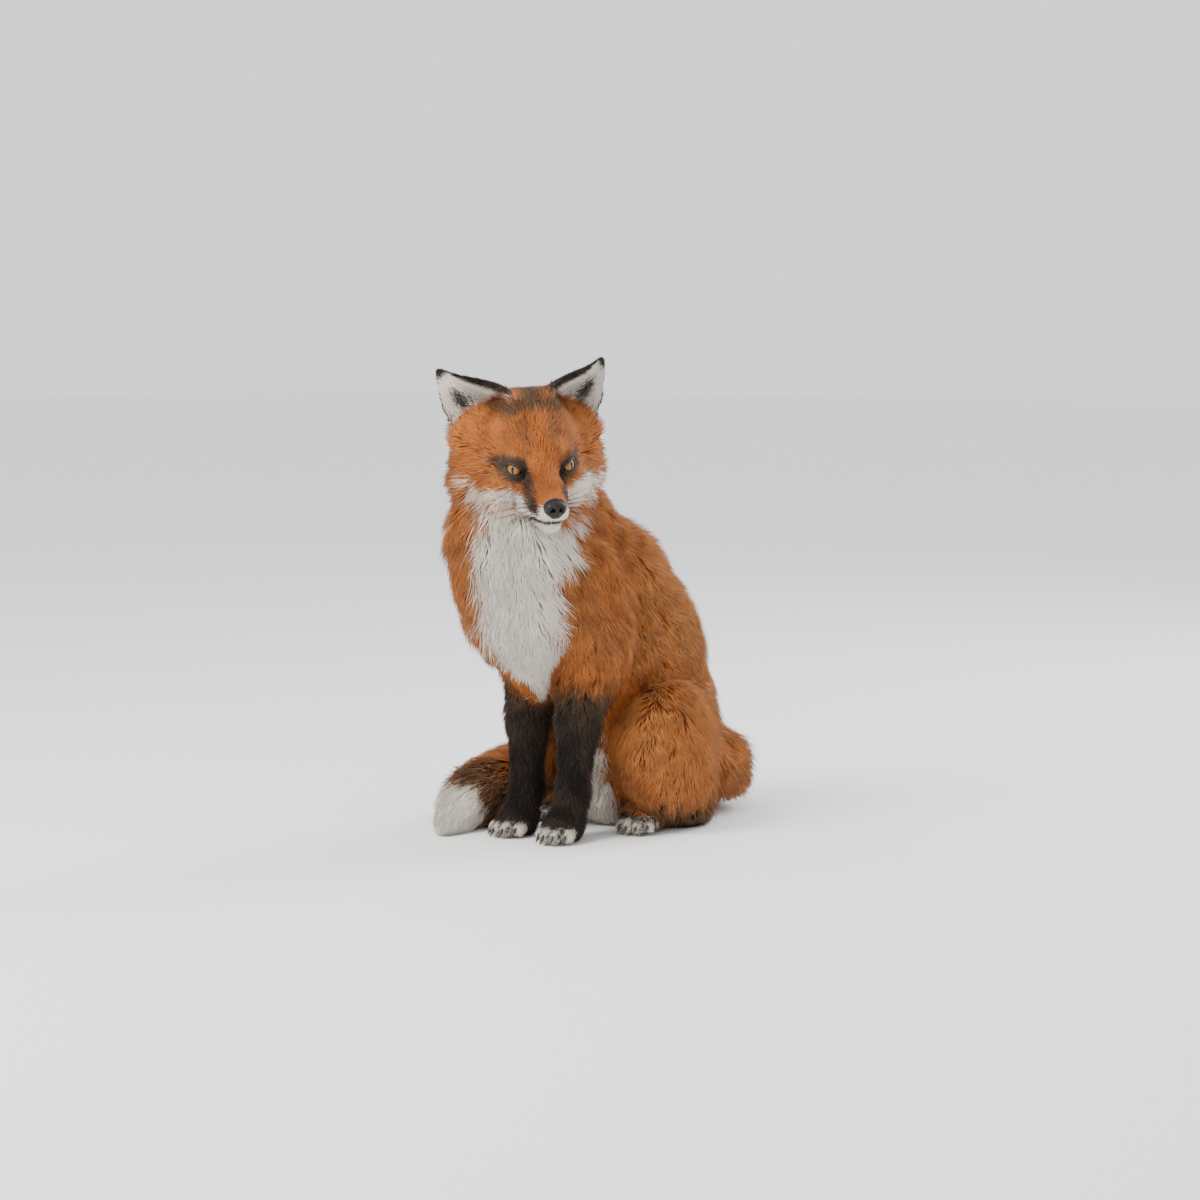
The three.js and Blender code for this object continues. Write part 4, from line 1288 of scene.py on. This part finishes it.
def nose_field(q):
    """The nose pad with round nostrils that run back into slits, and a groove down its middle."""
    m = folded(q, 1)
    hole = egg(m, (107, 3.9, -17.4), (4.5, 1.9, 2.1), (0, 0, 15))
    slit = taper(m, (106.4, 5.0, -18.2), (100.5, 10.4, -20.4), 1.0, 0.7)
    groove = taper(q, (107.6, 0, -16), (106.5, 0, -28), 0.55, 0.7)
    return carve(0.8, carve(1.0, pad_form(q, m), join(1.2, hole, slit)), groove)


def add_nose(material):
    lines = [np.arange(low, high, 0.5, dtype=np.float32) for low, high in ((86, 111), (-13, 13.1), (-30, -6))]
    q, quads = surface(nose_field, lines, 6)
    q = drawn_in(nose_field, q)
    placed(made_object("nose_pad", to_row(from_head(q)), quads, material), "nose", "nose")


def add_claws(material):
    t = np.linspace(0, 1, 9)
    radii = CLAW_RADIUS * (1 - t**1.6) ** 0.75 + 0.12
    curve = list(zip(8 + 11 * t - 1.5 * t * t, 9.5 - 1.5 * t - 6.0 * t * t))  # ahead of the toe, and up
    for foot in FEET:
        claws = [[on_foot(foot, out, ahead + far, up) for far, up in curve] for out, ahead in TOES]
        verts, faces = gathered(tube(claw, radii, 10, flat=0.75) for claw in claws)
        made = made_object("claws_" + foot, to_row(verts.T), faces, material)
        placed(made, "claw", *[f"claw_{foot}_{i}" for i in range(1, 5)])


def add_whiskers(material):
    draws = np.random.default_rng(31)
    t = np.linspace(0, 1, 9)[:, None]
    parts = []
    for s in SIDES.values():
        for row in range(4):
            for place in range(3):
                start = np.array([84 - 7 * place, 13.2 + 1.6 * place, -20 - 3.2 * row])
                way = np.array([0.15 - 0.28 * place, 1.0, 0.18 - 0.16 * row + 0.06 * place])
                way /= np.linalg.norm(way)
                long = draws.uniform(34, 54)
                path = start + way * long * t + np.array([-14, 0, -12]) * t**2 * draws.uniform(0.7, 1.3)
                path = (path - way * 2) * (1, s, 1)
                parts.append(tube(path, WHISKER_RADIUS * (1 - t.ravel()) ** 0.8 + 0.03, 5))
    verts, faces = gathered(parts)
    placed(made_object("whiskers", to_row(from_head(verts.T)), faces, material), "black_coat")


# ---- Putting it together ----

FLESH = [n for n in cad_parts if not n.startswith(("claw", "eye", "nose"))]


def add_skin(material):
    """The skin, and what the coat needs to grow on it."""
    points, quads = surface(skin_field, grid_lines(), 14)
    made = made_object("skin", to_row(points), quads, material)
    mesh = made.data
    refined(mesh)
    mesh.shade_smooth()
    unwrapped(made)
    p = points_of(mesh)
    shares = lie_of(p)[0]
    dark, pale, grizzle = markings(p, shares)
    q = to_head(p)
    _, edge = shape_lids(q)
    above, there = mouth_gap(q)
    lips = ramp(2.4, 1.6, np.abs(above)) * there
    naked = most(ramp(1.6, 0.7, edge), lips, ramp(2.0, 1.2, pad_form(q, folded(q, 1))))
    add_values(mesh, dark=dark, pale=pale, grizzle=grizzle, naked=naked)
    placed(made, "red_coat", *FLESH)
    normal = values_of(mesh.vertex_normals, "vector").T
    links = values_of(mesh.edges, "vertices", 2, np.int32)
    way = laid_along(lie_direction(p, shares), normal)
    way = laid_along(evened(way, links, 4), normal)
    mesh.calc_loop_triangles()
    triangles = values_of(mesh.loop_triangles, "vertices", 3, np.int32)
    corners = values_of(mesh.loop_triangles, "loops", 3, np.int32)
    density = coat_settings(p, shares)[3][triangles].mean(1)
    under = ramp(-0.55, -0.8, normal[2][triangles].mean(1)) * ramp(30, 12, p[2][triangles].mean(1))
    return {
        "p": p,
        "way": way,
        "triangles": triangles,
        "uv": values_of(mesh.uv_layers["OFBake"].data, "uv", 2)[corners],
        "weight": density / 100 * (1 - 0.7 * under),
        "home": shares[:, triangles].mean(2).argmax(0),
    }


SLOTS = {"bib": "pale_coat", "belly": "pale_coat", "brush": "pale_coat"}
SLOTS |= {name: "black_coat" for name in ("foreleg", "forepaw", "hindfoot", "ear")}
FEWEST_TUFTS, MOST_TUFTS = 20, 18000  # in one piece


def add_coat(skin, material):
    """Tufts on every region, with each side of the animal in pieces of its own."""
    a, b, c = [skin["p"][:, corner].T for corner in skin["triangles"].T]
    counts = np.linalg.norm(np.cross(b - a, c - a), axis=1) / 2 * skin["weight"]
    x, y = (a + b + c).T[:2] / 3
    for i, name in enumerate(REGIONS):
        for side, s in SIDES.items():
            chosen = np.nonzero((skin["home"] == i) & (np.where(x > 0, 1, -1) == s))[0]
            if counts[chosen].sum() < FEWEST_TUFTS:
                continue
            parts = int(counts[chosen].sum() / MOST_TUFTS) + 1
            chosen = chosen[np.argsort(y[chosen], kind="stable")]
            shares = np.cumsum(counts[chosen]) / counts[chosen].sum()
            for part in range(parts):
                some = np.sort(chosen[(shares > part / parts) & (shares <= (part + 1) / parts)])
                title = f"coat_{name}_{side}" + (f"_{part + 1}" if parts > 1 else "")
                seed = 100 + 10 * i + 4 * (s > 0) + part
                grow(title, some, skin, SLOTS.get(name, "red_coat"), material, seed)


# ---- Stage ----

CAMERA_TARGET = column(0, 0, 235.7)
CAMERA_AZIMUTH, CAMERA_ELEVATION, CAMERA_DISTANCE = 40, 5.5, 2700
PICTURE_WIDTH = 1242  # what the picture's width takes in at the target
SENSOR = 36
FLOOR_HALF = 20  # metres
LIGHT_TARGET = Vector((0, 0, 0.22))


def add_camera():
    (ca, sa), (ce, se) = cos_sin(CAMERA_AZIMUTH), cos_sin(CAMERA_ELEVATION)
    back = Vector((sa * ce, -ca * ce, se))
    camera = add_object("camera", bpy.data.cameras.new("camera"))
    camera.location = Vector(to_row(CAMERA_TARGET)[0]) + back * CAMERA_DISTANCE * MM
    camera.rotation_mode = "QUATERNION"
    camera.rotation_quaternion = (-back).to_track_quat("-Z", "Y")
    camera.data.sensor_width = SENSOR
    camera.data.lens = SENSOR * CAMERA_DISTANCE / PICTURE_WIDTH
    bpy.context.scene.camera = camera


def add_light(name, place, size, power, colour=(1, 1, 1)):
    lamp = bpy.data.lights.new(name, "AREA")
    lamp.size, lamp.energy, lamp.color = size, power, colour
    made = add_object(name, lamp)
    made.location = place
    made.rotation_euler = (LIGHT_TARGET - made.location).to_track_quat("-Z", "Y").to_euler()


def add_stage():
    material, _, shader = new_material("floor_paint")
    set_inputs(shader, Base_Color=(0.94, 0.94, 0.93, 1), Roughness=0.9)
    corners = FLOOR_HALF * np.array([(-1, -1, 0), (1, -1, 0), (1, 1, 0), (-1, 1, 0)])
    floor = made_object("floor", corners, np.array([[0, 1, 2, 3]]), material)
    world = bpy.data.worlds.new("studio")
    world.use_nodes = True
    set_inputs(world.node_tree.nodes["Background"], Color=(0.97, 0.98, 1.0, 1), Strength=1.35)
    bpy.context.scene.world = world
    add_light("key", (-0.3, -1.9, 2.0), 0.9, 70, (1.0, 0.97, 0.93))
    add_light("rim", (0.6, 2.0, 1.7), 0.8, 36)


add_camera()
add_coat(add_skin(skin_material()), coat_material())
eye_glass = eye_material()
for side in SIDES:
    add_eye(side, eye_glass)
leather = plain_material("nose_leather", (0.011, 0.009, 0.009), (0.002, 0.002, 0.002), 0.42, 1500, 0.8, 0.1)
horn = plain_material("claw_horn", (0.10, 0.075, 0.055), (0.02, 0.015, 0.012), 0.32, 500, 0.3, 0.2)
whisker = plain_material("whisker_hair", (0.03, 0.025, 0.02), (0.01, 0.008, 0.007), 0.45, 400, 0.1)
add_lid_rims(leather)
add_nose(leather)
add_claws(horn)
add_whiskers(whisker)
add_stage()
